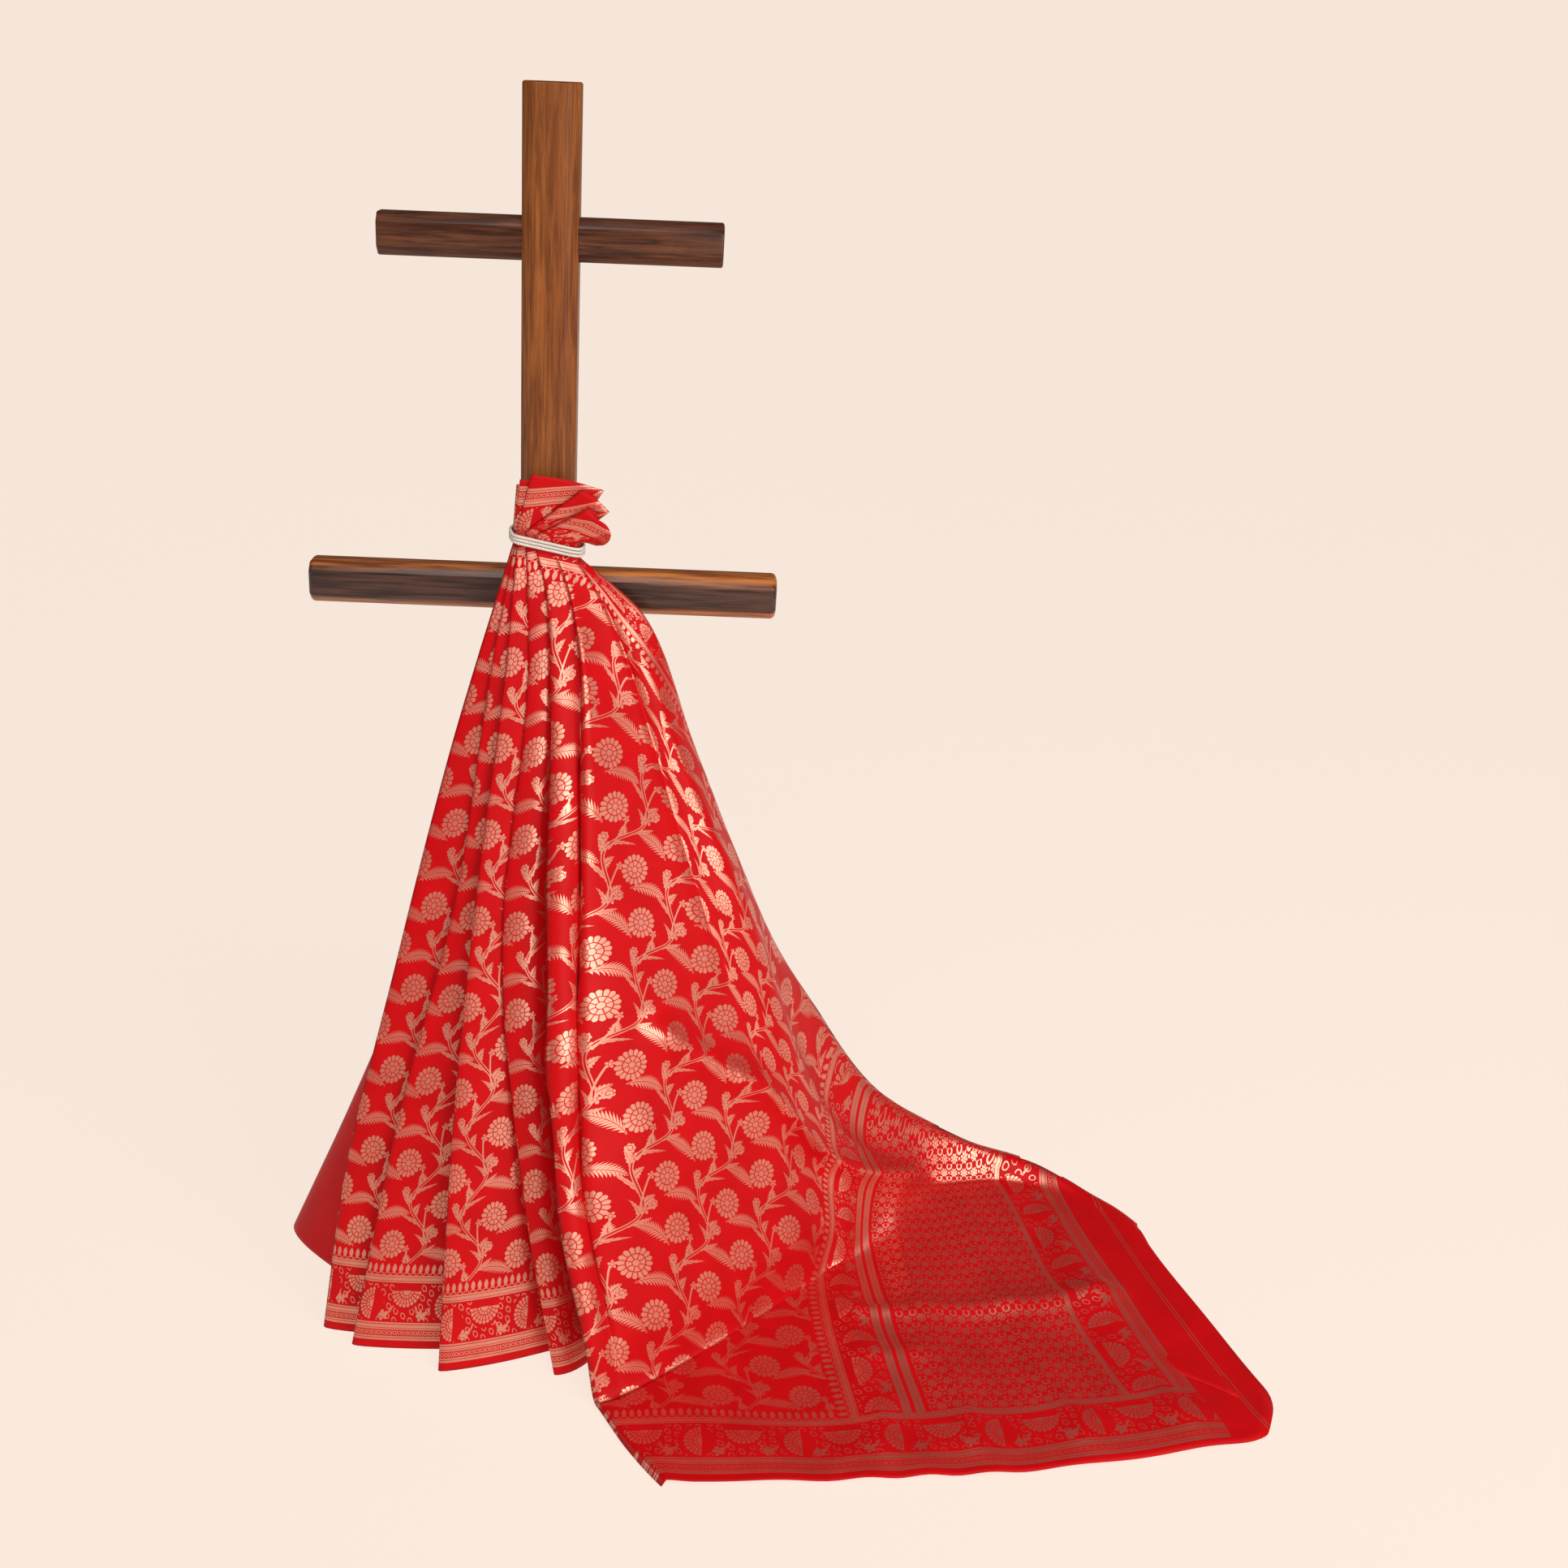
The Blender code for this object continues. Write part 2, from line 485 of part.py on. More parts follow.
def across(cage, samples):
    """Runs a quadratic B-spline across the lines, which rounds the folds and never crosses its layers."""
    count = len(cage)
    made = [cage[0]]
    for i in range(1, count - 1):
        start = cage[0] if i == 1 else (cage[i - 1] + cage[i]) / 2
        end = cage[-1] if i == count - 2 else (cage[i] + cage[i + 1]) / 2
        for step in range(1, samples + 1):
            t = step / samples
            made.append(start * (1 - t) ** 2 + cage[i] * 2 * t * (1 - t) + end * t * t)
    return np.array(made)


def add_sari(collection):
    grid = across(cage_of(sheet_lines()), SAMPLES_PER_LINE)
    columns, rows = grid.shape[:2]
    index = np.arange(columns * rows).reshape(columns, rows)
    faces = np.stack([index[:-1, :-1], index[:-1, 1:], index[1:, 1:], index[1:, :-1]], axis=-1)
    mesh = bpy.data.meshes.new("sari")
    mesh.from_pydata(grid.reshape(-1, 3).tolist(), [], faces.reshape(-1, 4).tolist())
    mesh.shade_smooth()
    sari = add_object("sari", mesh, collection, material("silk", SILK, 0.38))
    wall = sari.modifiers.new("thickness", "SOLIDIFY")
    wall.thickness = CLOTH
    wall.offset = 0.0
    return sari


def main():
    for old in list(bpy.data.objects):
        bpy.data.objects.remove(old, do_unlink=True)
    collection = bpy.data.collections.new("silk_sari_on_cross_stand")
    cutters = bpy.data.collections.new("cutters")
    for made in (collection, cutters):
        bpy.context.scene.collection.children.link(made)
    add_stand(collection, cutters)
    add_tie(collection)
    add_sari(collection)


main()
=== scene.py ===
"""A red silk sari with zari borders, pleated and tied to a wooden cross stand, dressed for a photograph.

Metres, +Z up. The origin is on the floor under the middle of the post, and -Y is towards the viewer.
"""

import math

import bmesh
import bpy
import numpy as np
from mathutils import Matrix, Vector


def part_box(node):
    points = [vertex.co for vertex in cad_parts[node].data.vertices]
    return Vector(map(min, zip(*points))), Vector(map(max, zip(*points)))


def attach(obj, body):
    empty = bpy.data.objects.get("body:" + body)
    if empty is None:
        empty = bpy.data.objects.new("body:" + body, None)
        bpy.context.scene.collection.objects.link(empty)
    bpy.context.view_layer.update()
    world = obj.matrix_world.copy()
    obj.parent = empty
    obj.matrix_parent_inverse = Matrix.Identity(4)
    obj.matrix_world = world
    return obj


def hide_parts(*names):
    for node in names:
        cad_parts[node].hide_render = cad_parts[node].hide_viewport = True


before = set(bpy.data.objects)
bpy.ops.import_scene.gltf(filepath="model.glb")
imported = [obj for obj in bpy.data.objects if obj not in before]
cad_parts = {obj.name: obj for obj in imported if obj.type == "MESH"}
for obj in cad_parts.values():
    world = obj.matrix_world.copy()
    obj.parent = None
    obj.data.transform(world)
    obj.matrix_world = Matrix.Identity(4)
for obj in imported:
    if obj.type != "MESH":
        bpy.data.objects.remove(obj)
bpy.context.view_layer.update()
scene = bpy.context.scene

# Camera: at head height, about two metres back and tilted down, as a shop photographs a draped
# sari. The frame is square, with the stand left of its middle, and FRAME_SIDE, FOCAL and
# MIDDLE_COLUMN are in its pixels. Place, roll and middle column come from a fit to the photograph.
FRAME_SIDE = 1932
FOCAL = 2100
SENSOR = 36
MIDDLE_COLUMN = 824.7
EYE = (0.172, -2.199, 1.571)
LOOK_DOWN = math.radians(22.5)
ROLL = math.radians(2.27)

camera = bpy.data.objects.new("camera", bpy.data.cameras.new("camera"))
scene.collection.objects.link(camera)
camera.data.sensor_width = SENSOR
camera.data.lens = SENSOR * FOCAL / FRAME_SIDE
camera.data.shift_x = (FRAME_SIDE / 2 - MIDDLE_COLUMN) / FRAME_SIDE
aim = Matrix.Rotation(math.pi / 2 - LOOK_DOWN, 4, "X") @ Matrix.Rotation(ROLL, 4, "Z")
camera.matrix_world = Matrix.Translation(EYE) @ aim
scene.camera = camera
scene.view_settings.view_transform = "Standard"


# Tie: a white cotton cord of three twisted plies, wound three times round the post and the
# gathered cloth. Its ends are tucked away behind the post.
CORD_DIAMETER = 0.004
CORD_TURNS = 3
CORD_PITCH = 0.0044
CORD_HIGH = 1.0245
CORD_TILT = 0.016
CORD_ACROSS = 0.09
CORD_ARC_STEP = math.radians(20)
CORD_GAP = 0.0003
POST_SIDE = 0.070
PLIES = 3
PLY_TWIST = 0.0065
PLY_STEP = 0.0007
PLY_SIDES = 15
PLY_DEPTH = 0.16
COTTON = (0.80, 0.765, 0.70, 1.0)
COTTON_SOILED = (0.62, 0.575, 0.52, 1.0)

# The gathered cloth inside the cord, where it is widest and at its front, and how wide the cord
# turns there and behind the post.
WIDEST = {"y": -0.036, "left": -0.0455, "right": 0.0472, "turn": 0.021}
FOREMOST = {"y": -0.0605, "left": -0.0385, "right": 0.0425, "turn": 0.011}
POST_TURN = 0.015


class Term:
    """A socket in a node tree, so that a pattern is written as a plain sum."""

    def __init__(self, tree, socket):
        self.tree = tree
        self.socket = socket

    def output(self, place):
        """Another output of the node that this socket is on."""
        return Term(self.tree, self.socket.node.outputs[place])

    def make(self, kind, settings=None, values=None, output=0):
        """A node of this kind, with its settings first and then the values or links of its sockets."""
        node = self.tree.nodes.new(kind)
        for name, value in (settings or {}).items():
            setattr(node, name, value)
        for place, value in (values or {}).items():
            if isinstance(value, Term):
                self.tree.links.new(value.socket, node.inputs[place])
            else:
                node.inputs[place].default_value = value
        return Term(self.tree, node.outputs[output])

    def math(self, operation, *others, clamp=False):
        settings = {"operation": operation, "use_clamp": clamp}
        return self.make("ShaderNodeMath", settings, dict(enumerate((self, *others))))

    def ramp(self, times, plus):
        """The value times one number plus another, kept between 0 and 1."""
        return self.math("MULTIPLY_ADD", times, plus, clamp=True)

    def __add__(self, other):
        return self.math("ADD", other)

    def __sub__(self, other):
        return self.math("SUBTRACT", other)

    def __mul__(self, other):
        return self.math("MULTIPLY", other)

    def __truediv__(self, other):
        return self.math("DIVIDE", other)

    def __rsub__(self, other):
        return self.make("ShaderNodeMath", {"operation": "SUBTRACT"}, {0: other, 1: self})

    def __abs__(self):
        return self.math("ABSOLUTE")


def new_material(name):
    """An empty material, and a Term to start its nodes from."""
    made = bpy.data.materials.new(name)
    made.use_nodes = True
    made.node_tree.nodes.clear()
    made.node_tree.nodes.new("ShaderNodeOutputMaterial")
    return made, Term(made.node_tree, None)


def finished(material, shader):
    """The material, with this shader on its surface."""
    tree = material.node_tree
    tree.links.new(shader.socket, tree.get_output_node("ALL").inputs["Surface"])
    return material


def mix_colours(start, share, one, other):
    values = {0: share, 6: one, 7: other}
    return start.make("ShaderNodeMix", {"data_type": "RGBA"}, values, output=2)


def noise(place, scale, detail, distortion=0.0):
    values = {"Vector": place, "Scale": scale, "Detail": detail, "Distortion": distortion}
    return place.make("ShaderNodeTexNoise", None, values)


def bumped(height, strength, distance):
    values = {"Strength": strength, "Distance": distance, "Height": height}
    return height.make("ShaderNodeBump", None, values)


def principled(start, values):
    return start.make("ShaderNodeBsdfPrincipled", None, values)


def lengths_of(places):
    """How far each of the places lies along the path through them."""
    steps = np.linalg.norm(np.diff(places, axis=0), axis=1)
    return np.concatenate([[0], np.cumsum(steps)])


def rounded_loop(offset):
    """Points round the post and the gathered cloth, with an arc at each corner."""
    back = POST_SIDE / 2 + offset
    corners = (
        (-back, back, POST_TURN),
        (WIDEST["left"] - offset, WIDEST["y"], WIDEST["turn"]),
        (FOREMOST["left"] - offset, FOREMOST["y"] - offset, FOREMOST["turn"]),
        (FOREMOST["right"] + offset, FOREMOST["y"] - offset, FOREMOST["turn"]),
        (WIDEST["right"] + offset, WIDEST["y"], WIDEST["turn"]),
        (back, back, POST_TURN),
    )
    places = [np.array(corner[:2]) for corner in corners]
    loop = []
    for i, (corner, following) in enumerate(zip(places, places[1:] + places[:1])):
        radius = corners[i][2]
        before = places[i - 1] - corner
        after = following - corner
        before = before / np.linalg.norm(before)
        after = after / np.linalg.norm(after)
        half_angle = math.acos(float(before @ after)) / 2
        middle = before + after
        centre = corner + middle / np.linalg.norm(middle) * radius / math.sin(half_angle)
        spoke = corner + before * radius / math.tan(half_angle) - centre
        sweep = math.pi - 2 * half_angle
        turn = math.copysign(1.0, before[1] * after[0] - before[0] * after[1])
        steps = max(1, round(sweep / CORD_ARC_STEP))
        for step in range(steps + 1):
            angle = turn * sweep * step / steps
            x = spoke[0] * math.cos(angle) - spoke[1] * math.sin(angle)
            y = spoke[0] * math.sin(angle) + spoke[1] * math.cos(angle)
            loop.append(centre + (x, y))
    start = (loop[0] + loop[-1]) / 2
    return np.array([start, *loop])


def slope_down(x):
    """How far the cord has come down at x, as it slopes to the right."""
    return CORD_TILT * (x / CORD_ACROSS + 0.5)


def cord_route():
    """Turns that slope down to the right, each a pitch below the last."""
    loop = rounded_loop(CORD_DIAMETER / 2 + CORD_GAP)
    whole = [*loop, loop[0]]
    travelled = lengths_of(whole)
    points = []
    for turn in range(CORD_TURNS):
        for place, share in zip(whole, travelled / travelled[-1]):
            if turn and share == 0:
                continue
            height = CORD_HIGH - CORD_PITCH * (turn + share) - slope_down(place[0])
            points.append((*place, height))
    return points


def cotton_material():
    """Soft white cotton: fine fibres, a little soiled in places."""
    made, start = new_material("cotton")
    place = start.make("ShaderNodeTexCoord", output=3)
    fibre = noise(place, 900.0, 3.0)
    soil = noise(place, 60.0, 2.0)
    shade = (fibre * 0.5 + soil * 0.5).ramp(1.6, -0.3)
    colour = mix_colours(start, shade, COTTON_SOILED, COTTON)
    values = {
        "Base Color": colour, "Roughness": 0.85, "Sheen Weight": 0.3,
        "Normal": bumped(fibre, 0.5, 0.0003),
    }
    return finished(made, principled(start, values))


def twisted_cord(route, finish):
    """Sweeps a three-lobed section along the route, turning as it goes."""
    curve = bpy.data.curves.new("route", "CURVE")
    curve.dimensions = "3D"
    spline = curve.splines.new("POLY")
    spline.points.add(len(route) - 1)
    for knot, place in zip(spline.points, route):
        knot.co = (*place, 1.0)
    path = bpy.data.objects.new("route", curve)
    scene.collection.objects.link(path)
    tree = bpy.data.node_groups.new("twisted_cord", "GeometryNodeTree")
    tree.interface.new_socket("Geometry", in_out="INPUT", socket_type="NodeSocketGeometry")
    for name in ("Radius", "Twist", "Step"):
        tree.interface.new_socket(name, in_out="INPUT", socket_type="NodeSocketFloat")
    tree.interface.new_socket("Geometry", in_out="OUTPUT", socket_type="NodeSocketGeometry")
    start = Term(tree, None)
    given = tree.nodes.new("NodeGroupInput")
    line, radius, twist, step = (Term(tree, given.outputs[i]) for i in range(4))
    fine = start.make("GeometryNodeResampleCurve", {"mode": "LENGTH"}, {"Curve": line, "Length": step})
    travelled = start.make("GeometryNodeSplineParameter", output=1)
    turned = start.make("GeometryNodeSetCurveTilt", None, {0: fine, 2: travelled / twist * (2 * math.pi)})
    ring = start.make("GeometryNodeCurvePrimitiveCircle", None, {"Resolution": PLY_SIDES, "Radius": radius})
    number = start.make("GeometryNodeInputIndex")
    round_ring = number * (2 * math.pi * PLIES / PLY_SIDES)
    lobe = round_ring.math("COSINE") * (PLY_DEPTH / 2) + (1 - PLY_DEPTH / 2)
    spot = start.make("GeometryNodeInputPosition")
    lobed = start.make("ShaderNodeVectorMath", {"operation": "SCALE"}, {0: spot, 3: lobe})
    section = start.make("GeometryNodeSetPosition", None, {0: ring, 2: lobed})
    tube = start.make("GeometryNodeCurveToMesh", None, {0: turned, 1: section, "Fill Caps": True})
    real = start.make("GeometryNodeRealizeInstances", None, {0: tube})
    painted = start.make("GeometryNodeSetMaterial", None, {0: real, 2: finish})
    result = tree.nodes.new("NodeGroupOutput")
    tree.links.new(painted.socket, result.inputs[0])
    made = path.modifiers.new("twist", "NODES")
    made.node_group = tree
    sizes = {"Radius": CORD_DIAMETER / 2, "Twist": PLY_TWIST, "Step": PLY_STEP}
    for socket in tree.interface.items_tree:
        if socket.name in sizes:
            made[socket.identifier] = sizes[socket.name]
    bpy.context.view_layer.update()
    graph = bpy.context.evaluated_depsgraph_get()
    mesh = bpy.data.meshes.new_from_object(path.evaluated_get(graph))
    path.modifiers.clear()
    bpy.data.objects.remove(path)
    cord = bpy.data.objects.new("tie", mesh)
    scene.collection.objects.link(cord)
    return cord


route = cord_route()
tie = twisted_cord(route, cotton_material())
tie.data.shade_smooth()
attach(tie, "root")
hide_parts("tie_cord")


# Stand: planed hardwood, varnished. The post is square with broad chamfers, and the bars are let
# through it. The hidden cross foot is two plain half-lapped bearers.
TIMBERS = {
    "post": {"axis": 2, "chamfer": 0.014, "end_round": 0.003, "slot": "teak"},
    "foot_along_x": {"axis": 0, "chamfer": 0.004, "end_round": 0.002, "slot": "teak"},
    "foot_along_y": {"axis": 1, "chamfer": 0.004, "end_round": 0.002, "slot": "teak"},
    "lower_bar": {"axis": 0, "chamfer": 0.012, "end_round": 0.007, "slot": "dark_wood"},
    "upper_bar": {"axis": 0, "chamfer": 0.011, "end_round": 0.003, "slot": "dark_wood"},
}
ARRIS = 0.0014
NEAR = 1e-6
TEAK = {
    "ground": (0.24, 0.070, 0.016, 1.0), "light": (0.36, 0.118, 0.028, 1.0),
    "dark": (0.10, 0.026, 0.008, 1.0), "streaks": 0.75, "gloss": 0.38,
}
SMOKED = {
    "ground": (0.075, 0.024, 0.013, 1.0), "light": (0.150, 0.050, 0.022, 1.0),
    "dark": (0.018, 0.006, 0.005, 1.0), "streaks": 0.8, "gloss": 0.24,
}
HEART = (0.028, 0.012, 0.010, 1.0), (0.085, 0.036, 0.024, 1.0)
SAP = (0.19, 0.045, 0.011, 1.0), (0.52, 0.165, 0.032, 1.0)
GRAIN_DRAWN_OUT = 0.055
HEART_DRAWN_OUT = 0.05


def flush(edge, axis):
    """Whether both ends of an edge lie at the same place along this axis."""
    return abs(edge.verts[0].co[axis] - edge.verts[1].co[axis]) < NEAR


def edges_along(cage, axis):
    others = [i for i in range(3) if i != axis]
    return [edge for edge in cage.edges if all(flush(edge, i) for i in others)]


def edges_at_ends(cage, axis, ends):
    """The edges round both ends of a timber that runs along this axis."""
    return [
        edge for edge in cage.edges
        if flush(edge, axis) and min(abs(edge.verts[0].co[axis] - end[axis]) for end in ends) < NEAR
    ]


def planed_timber(node, finish):
    """A bar in the place of its node, with chamfers along it, rounded ends and softened arrises."""
    low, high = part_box(node)
    timber = TIMBERS[node]
    axis = timber["axis"]
    cage = bmesh.new()
    bmesh.ops.create_cube(cage, size=1.0)
    bmesh.ops.scale(cage, vec=high - low, verts=cage.verts)
    bmesh.ops.translate(cage, vec=(high + low) / 2, verts=cage.verts)
    sides = edges_along(cage, axis)
    bmesh.ops.bevel(cage, geom=sides, offset=timber["chamfer"], segments=1, profile=0.5, affect="EDGES")
    ends = edges_at_ends(cage, axis, (low, high))
    bmesh.ops.bevel(cage, geom=ends, offset=timber["end_round"], segments=3, profile=0.5, affect="EDGES")
    mesh = bpy.data.meshes.new(node + "_timber")
    cage.to_mesh(mesh)
    cage.free()
    made = bpy.data.objects.new(node + "_timber", mesh)
    scene.collection.objects.link(made)
    mesh.materials.append(finish)
    soft = made.modifiers.new("arris", "BEVEL")
    soft.width = ARRIS
    soft.segments = 2
    soft.limit_method = "ANGLE"
    soft.angle_limit = math.radians(25)
    mesh.shade_smooth()
    mesh.set_sharp_from_angle(angle=math.radians(50))
    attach(made, "root")
    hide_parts(node)


def wood_material(name, axis, ground, light, dark, streaks, gloss):
    """Varnished wood with its grain along one axis: growth bands, pores and a few darker streaks."""
    made, start = new_material(name)
    place = start.make("ShaderNodeTexCoord", output=3)
    stretch = [1.0, 1.0, 1.0]
    stretch[axis] = GRAIN_DRAWN_OUT
    grain = start.make("ShaderNodeMapping", None, {"Vector": place, "Scale": stretch})
    sway = noise(grain, 26.0, 2.0)
    bands = noise(grain, 210.0, 4.0, 0.6)
    pores = noise(grain, 900.0, 2.0)
    broad = sway.ramp(3.0, -1.0)
    fine = bands.ramp(3.4, -1.2)
    colour = mix_colours(start, broad, ground, light)
    colour = mix_colours(start, fine * streaks, colour, dark)
    speck = pores.ramp(9.0, -5.0)
    colour = mix_colours(start, speck * 0.35, colour, dark)
    bump = bumped(bands * 0.6 + pores * 0.4, 0.25, 0.0004)
    values = {
        "Base Color": colour, "Roughness": broad * 0.08 + gloss, "Normal": bump,
        "Specular IOR Level": 0.2, "Coat Weight": 0.06, "Coat Roughness": 0.20,
    }
    return finished(made, principled(start, values))


def heartwood_material(name, low, high):
    """Dark polished wood: a near-black heart with brown streaks, and orange sapwood above and below."""
    made, start = new_material(name)
    place = start.make("ShaderNodeTexCoord", output=3)
    stretch = (HEART_DRAWN_OUT, 1.0, 1.0)
    grain = start.make("ShaderNodeMapping", None, {"Vector": place, "Scale": stretch})
    sway = noise(grain, 34.0, 2.5)
    lines = noise(grain, 240.0, 4.0)
    up = start.make("ShaderNodeSeparateXYZ", None, {0: place}, output=2)
    height = (up - (low + high) / 2) * (2 / (high - low))
    outer = abs(height + (sway - 0.5) * 1.1).ramp(3.2, -1.55)
    fine = lines.ramp(4.0, -1.5)
    heart = mix_colours(start, fine, *HEART)
    sap = mix_colours(start, fine, *SAP)
    colour = mix_colours(start, outer, heart, sap)
    bump = bumped(lines, 0.2, 0.0004)
    values = {
        "Base Color": colour, "Roughness": fine * 0.1 + 0.26, "Normal": bump,
        "Specular IOR Level": 0.3, "Coat Weight": 0.12, "Coat Roughness": 0.18,
    }
    return finished(made, principled(start, values))


bar_low, bar_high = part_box("lower_bar")
finishes = {
    "post": wood_material("teak", TIMBERS["post"]["axis"], **TEAK),
    "foot_along_x": wood_material("teak_foot_along_x", TIMBERS["foot_along_x"]["axis"], **TEAK),
    "foot_along_y": wood_material("teak_foot_along_y", TIMBERS["foot_along_y"]["axis"], **TEAK),
    "lower_bar": heartwood_material("heartwood", bar_low[2], bar_high[2]),
    "upper_bar": wood_material("smoked_wood", TIMBERS["upper_bar"]["axis"], **SMOKED),
}
for node, finish in finishes.items():
    planed_timber(node, finish)


# Sari: one length of red silk, woven with copper zari. It is gathered in knife pleats, bound to
# the post with its top edge above the cord, and its end is spread over the floor to the right.
CUT_WIDTH = 1.17
NECK_Z = 1.0178
NECK_HALF = 0.0105
CLOTH = 0.0008
LAYER_PITCH = 0.0019
FIRST_LAYER_Y = -0.0392
FLOOR_Z = 0.0010
DOUBLE_Z = 0.0042
FOLD_DEPTH = 0.009
FAN_OUT = 0.020
TOP_SPREAD = 1.6
TUCK_FAN = 0.008
PANEL_FAN = 0.022
FACE_TOP_RISE = 0.004

# How soon down its fall a line fans out most, and how quickly its depth and the swell of a pleat's
# face grow and fade.
FAN_MOST_AT = 0.13
DEPTH_GROWS = 9
DEPTH_FADES = 5
FACE_GROWS = 0.3

# Heights of the points down a hanging line. A visible fold runs smoothly from the tie through
# a few bends, as (height, x), to its foot.
HEIGHTS = (0.95, 0.86, 0.76, 0.66, 0.56, 0.46, 0.36, 0.26, 0.16, 0.08)
BENDS = {
    "flap": ((0.75, -0.100), (0.45, -0.170), (0.25, -0.245)),
    "a": ((0.75, -0.115), (0.45, -0.185), (0.20, -0.240)),
    "b": ((0.85, -0.065), (0.60, -0.095), (0.30, -0.165)),
    "c": ((0.85, -0.045), (0.65, -0.065), (0.30, -0.090)),
    "d": ((0.85, -0.015), (0.55, -0.035), (0.25, 0.000)),
    "front": ((0.95, 0.005), (0.30, 0.045)),
    "side": ((0.95, 0.015), (0.85, 0.030), (0.30, 0.065)),
    "long": ((0.95, 0.035), (0.85, 0.055), (0.30, 0.080)),
}

# Knife pleats, left to right. tie_x and foot are a pleat's left fold and tuck its hidden
# right one; face is where the cloth between them swells or sinks, as (share, forward);
# top is the end of each fold above the tie.
PLEATS = (
    {"name": "flap", "layer": 0, "tie_x": -0.0400, "tuck_x": 0.036, "foot": (-0.350, -0.174),
     "tuck": (-0.150, -0.334), "face": ((0.5, 0.012),), "top": (-0.036, 1.080), "tuck_top": (0.048, 1.084)},
    {"name": "a", "layer": 1, "tie_x": -0.0425, "tuck_x": 0.035, "foot": (-0.264, -0.364),
     "tuck": (-0.130, -0.374), "face": ((0.5, 0.004),), "top": (-0.038, 1.084), "tuck_top": (0.057, 1.080)},
    {"name": "b", "layer": 3, "tie_x": -0.0400, "tuck_x": 0.034, "foot": (-0.220, -0.396),
     "tuck": (-0.030, -0.398), "face": ((0.5, 0.002),), "top": (-0.033, 1.092), "tuck_top": (0.068, 1.076)},
    {"name": "c", "layer": 5, "tie_x": -0.0370, "tuck_x": 0.033, "foot": (-0.099, -0.440),
     "tuck": (0.064, -0.389), "face": ((0.5, 0.004),), "top": (-0.018, 1.100), "tuck_top": (0.074, 1.084)},
    {"name": "d", "layer": 7, "tie_x": -0.0250, "tuck_x": 0.031, "foot": (0.052, -0.438),
     "tuck": (0.146, -0.364), "face": ((0.30, 0.012), (0.62, 0.000)), "top": (0.046, 1.083),
     "tuck_top": (0.082, 1.058)},
)
INNER_END = (
    {"fold": None, "tie": (-0.0300, -0.0374), "foot": (-0.300, -0.030), "top": (-0.026, 1.076)},
    {"fold": "flap", "tie": (-0.0385, -0.0378), "foot": (-0.352, -0.125), "top": (-0.034, 1.078)},
)


def front_line(name, tie, touch, middle, end, top, **others):
    """A line of the front panel. What it doesn't say is as on the flat of the panel."""
    said = {"name": name, "tie": tie, "touch": touch, "middle": middle, "end": end, "top": top}
    return {"fold": None, "low": DOUBLE_Z, "depth": 0.0, "fan": 0.0} | said | others


def trail_line(name, tie, top, lands, edge, points):
    return {"name": name, "tie": tie, "top": top, "lands": lands, "edge": edge, "points": points}


# Front panel: lines from the tie to where the cloth touches the floor and on to its edge. low is
# the height of the cloth on the floor, where it mostly lies double, depth how far a line stands
# behind the panel, and fan how far it is pushed to the right just below the tie.
FRONT = (
    front_line("under_1", (0.018, -0.0565), (0.140, -0.398), (0.152, -0.426), (0.165, -0.455),
               (0.068, 1.055), low=FLOOR_Z),
    front_line("under_2", (0.005, -0.0568), (0.131, -0.440), (0.155, -0.482), (0.180, -0.527),
               (0.062, 1.058), low=FLOOR_Z),
    front_line("front_fold_back", (-0.011, -0.0573), (0.116, -0.490), (0.154, -0.550), (0.2015, -0.612),
               (0.055, 1.062), fold="front", low=FLOOR_Z),
    front_line("front_fold", (-0.011, -0.0592), (0.114, -0.499), (0.152, -0.562), (0.1990, -0.623),
               (0.056, 1.060), fold="front", low=0.0058),
    front_line("side_face", (0.000, -0.0595), (0.128, -0.493), (0.165, -0.557), (0.214, -0.6220),
               (0.060, 1.056), fold="side", low=0.0050, depth=-0.004),
    front_line("long_valley", (0.011, -0.0585), (0.145, -0.482), (0.186, -0.551), (0.234, -0.621),
               (0.065, 1.052), fold="long", depth=0.014),
    front_line("long_ridge", (0.017, -0.0592), (0.152, -0.477), (0.199, -0.549), (0.246, -0.6195),
               (0.068, 1.049), fold="long", depth=-0.013),
    front_line("panel_1", (0.023, -0.0590), (0.195, -0.440), (0.262, -0.528), (0.330, -0.616),
               (0.077, 1.044), depth=-0.004, fan=PANEL_FAN),
    front_line("panel_2", (0.028, -0.0592), (0.270, -0.372), (0.395, -0.485), (0.520, -0.599),
               (0.081, 1.040), fan=PANEL_FAN),
    front_line("panel_3", (0.033, -0.0590), (0.345, -0.296), (0.550, -0.426), (0.765, -0.561),
               (0.083, 1.036), fan=PANEL_FAN),
    front_line("panel_4", (0.0362, -0.0585), (0.385, -0.258), (0.655, -0.388), (0.930, -0.520),
               (0.084, 1.033), fan=PANEL_FAN),
    front_line("hem_corner", (0.0378, -0.0578), (0.396, -0.248), (0.680, -0.376), (0.961, -0.508),
               (0.0845, 1.031), fan=PANEL_FAN),
    front_line("short_side", (0.0386, -0.0573), (0.401, -0.242), (0.685, -0.366), (0.968, -0.499),
               (0.0845, 1.030), fan=PANEL_FAN),
    front_line("end_corner", (0.0396, -0.0564), (0.412, -0.230), (0.700, -0.334), (0.995, -0.438),
               (0.085, 1.029), fan=PANEL_FAN),
    front_line("end_1", (0.0406, -0.0553), (0.425, -0.212), (0.705, -0.290), (0.979, -0.388),
               (0.085, 1.027), fan=PANEL_FAN),
)

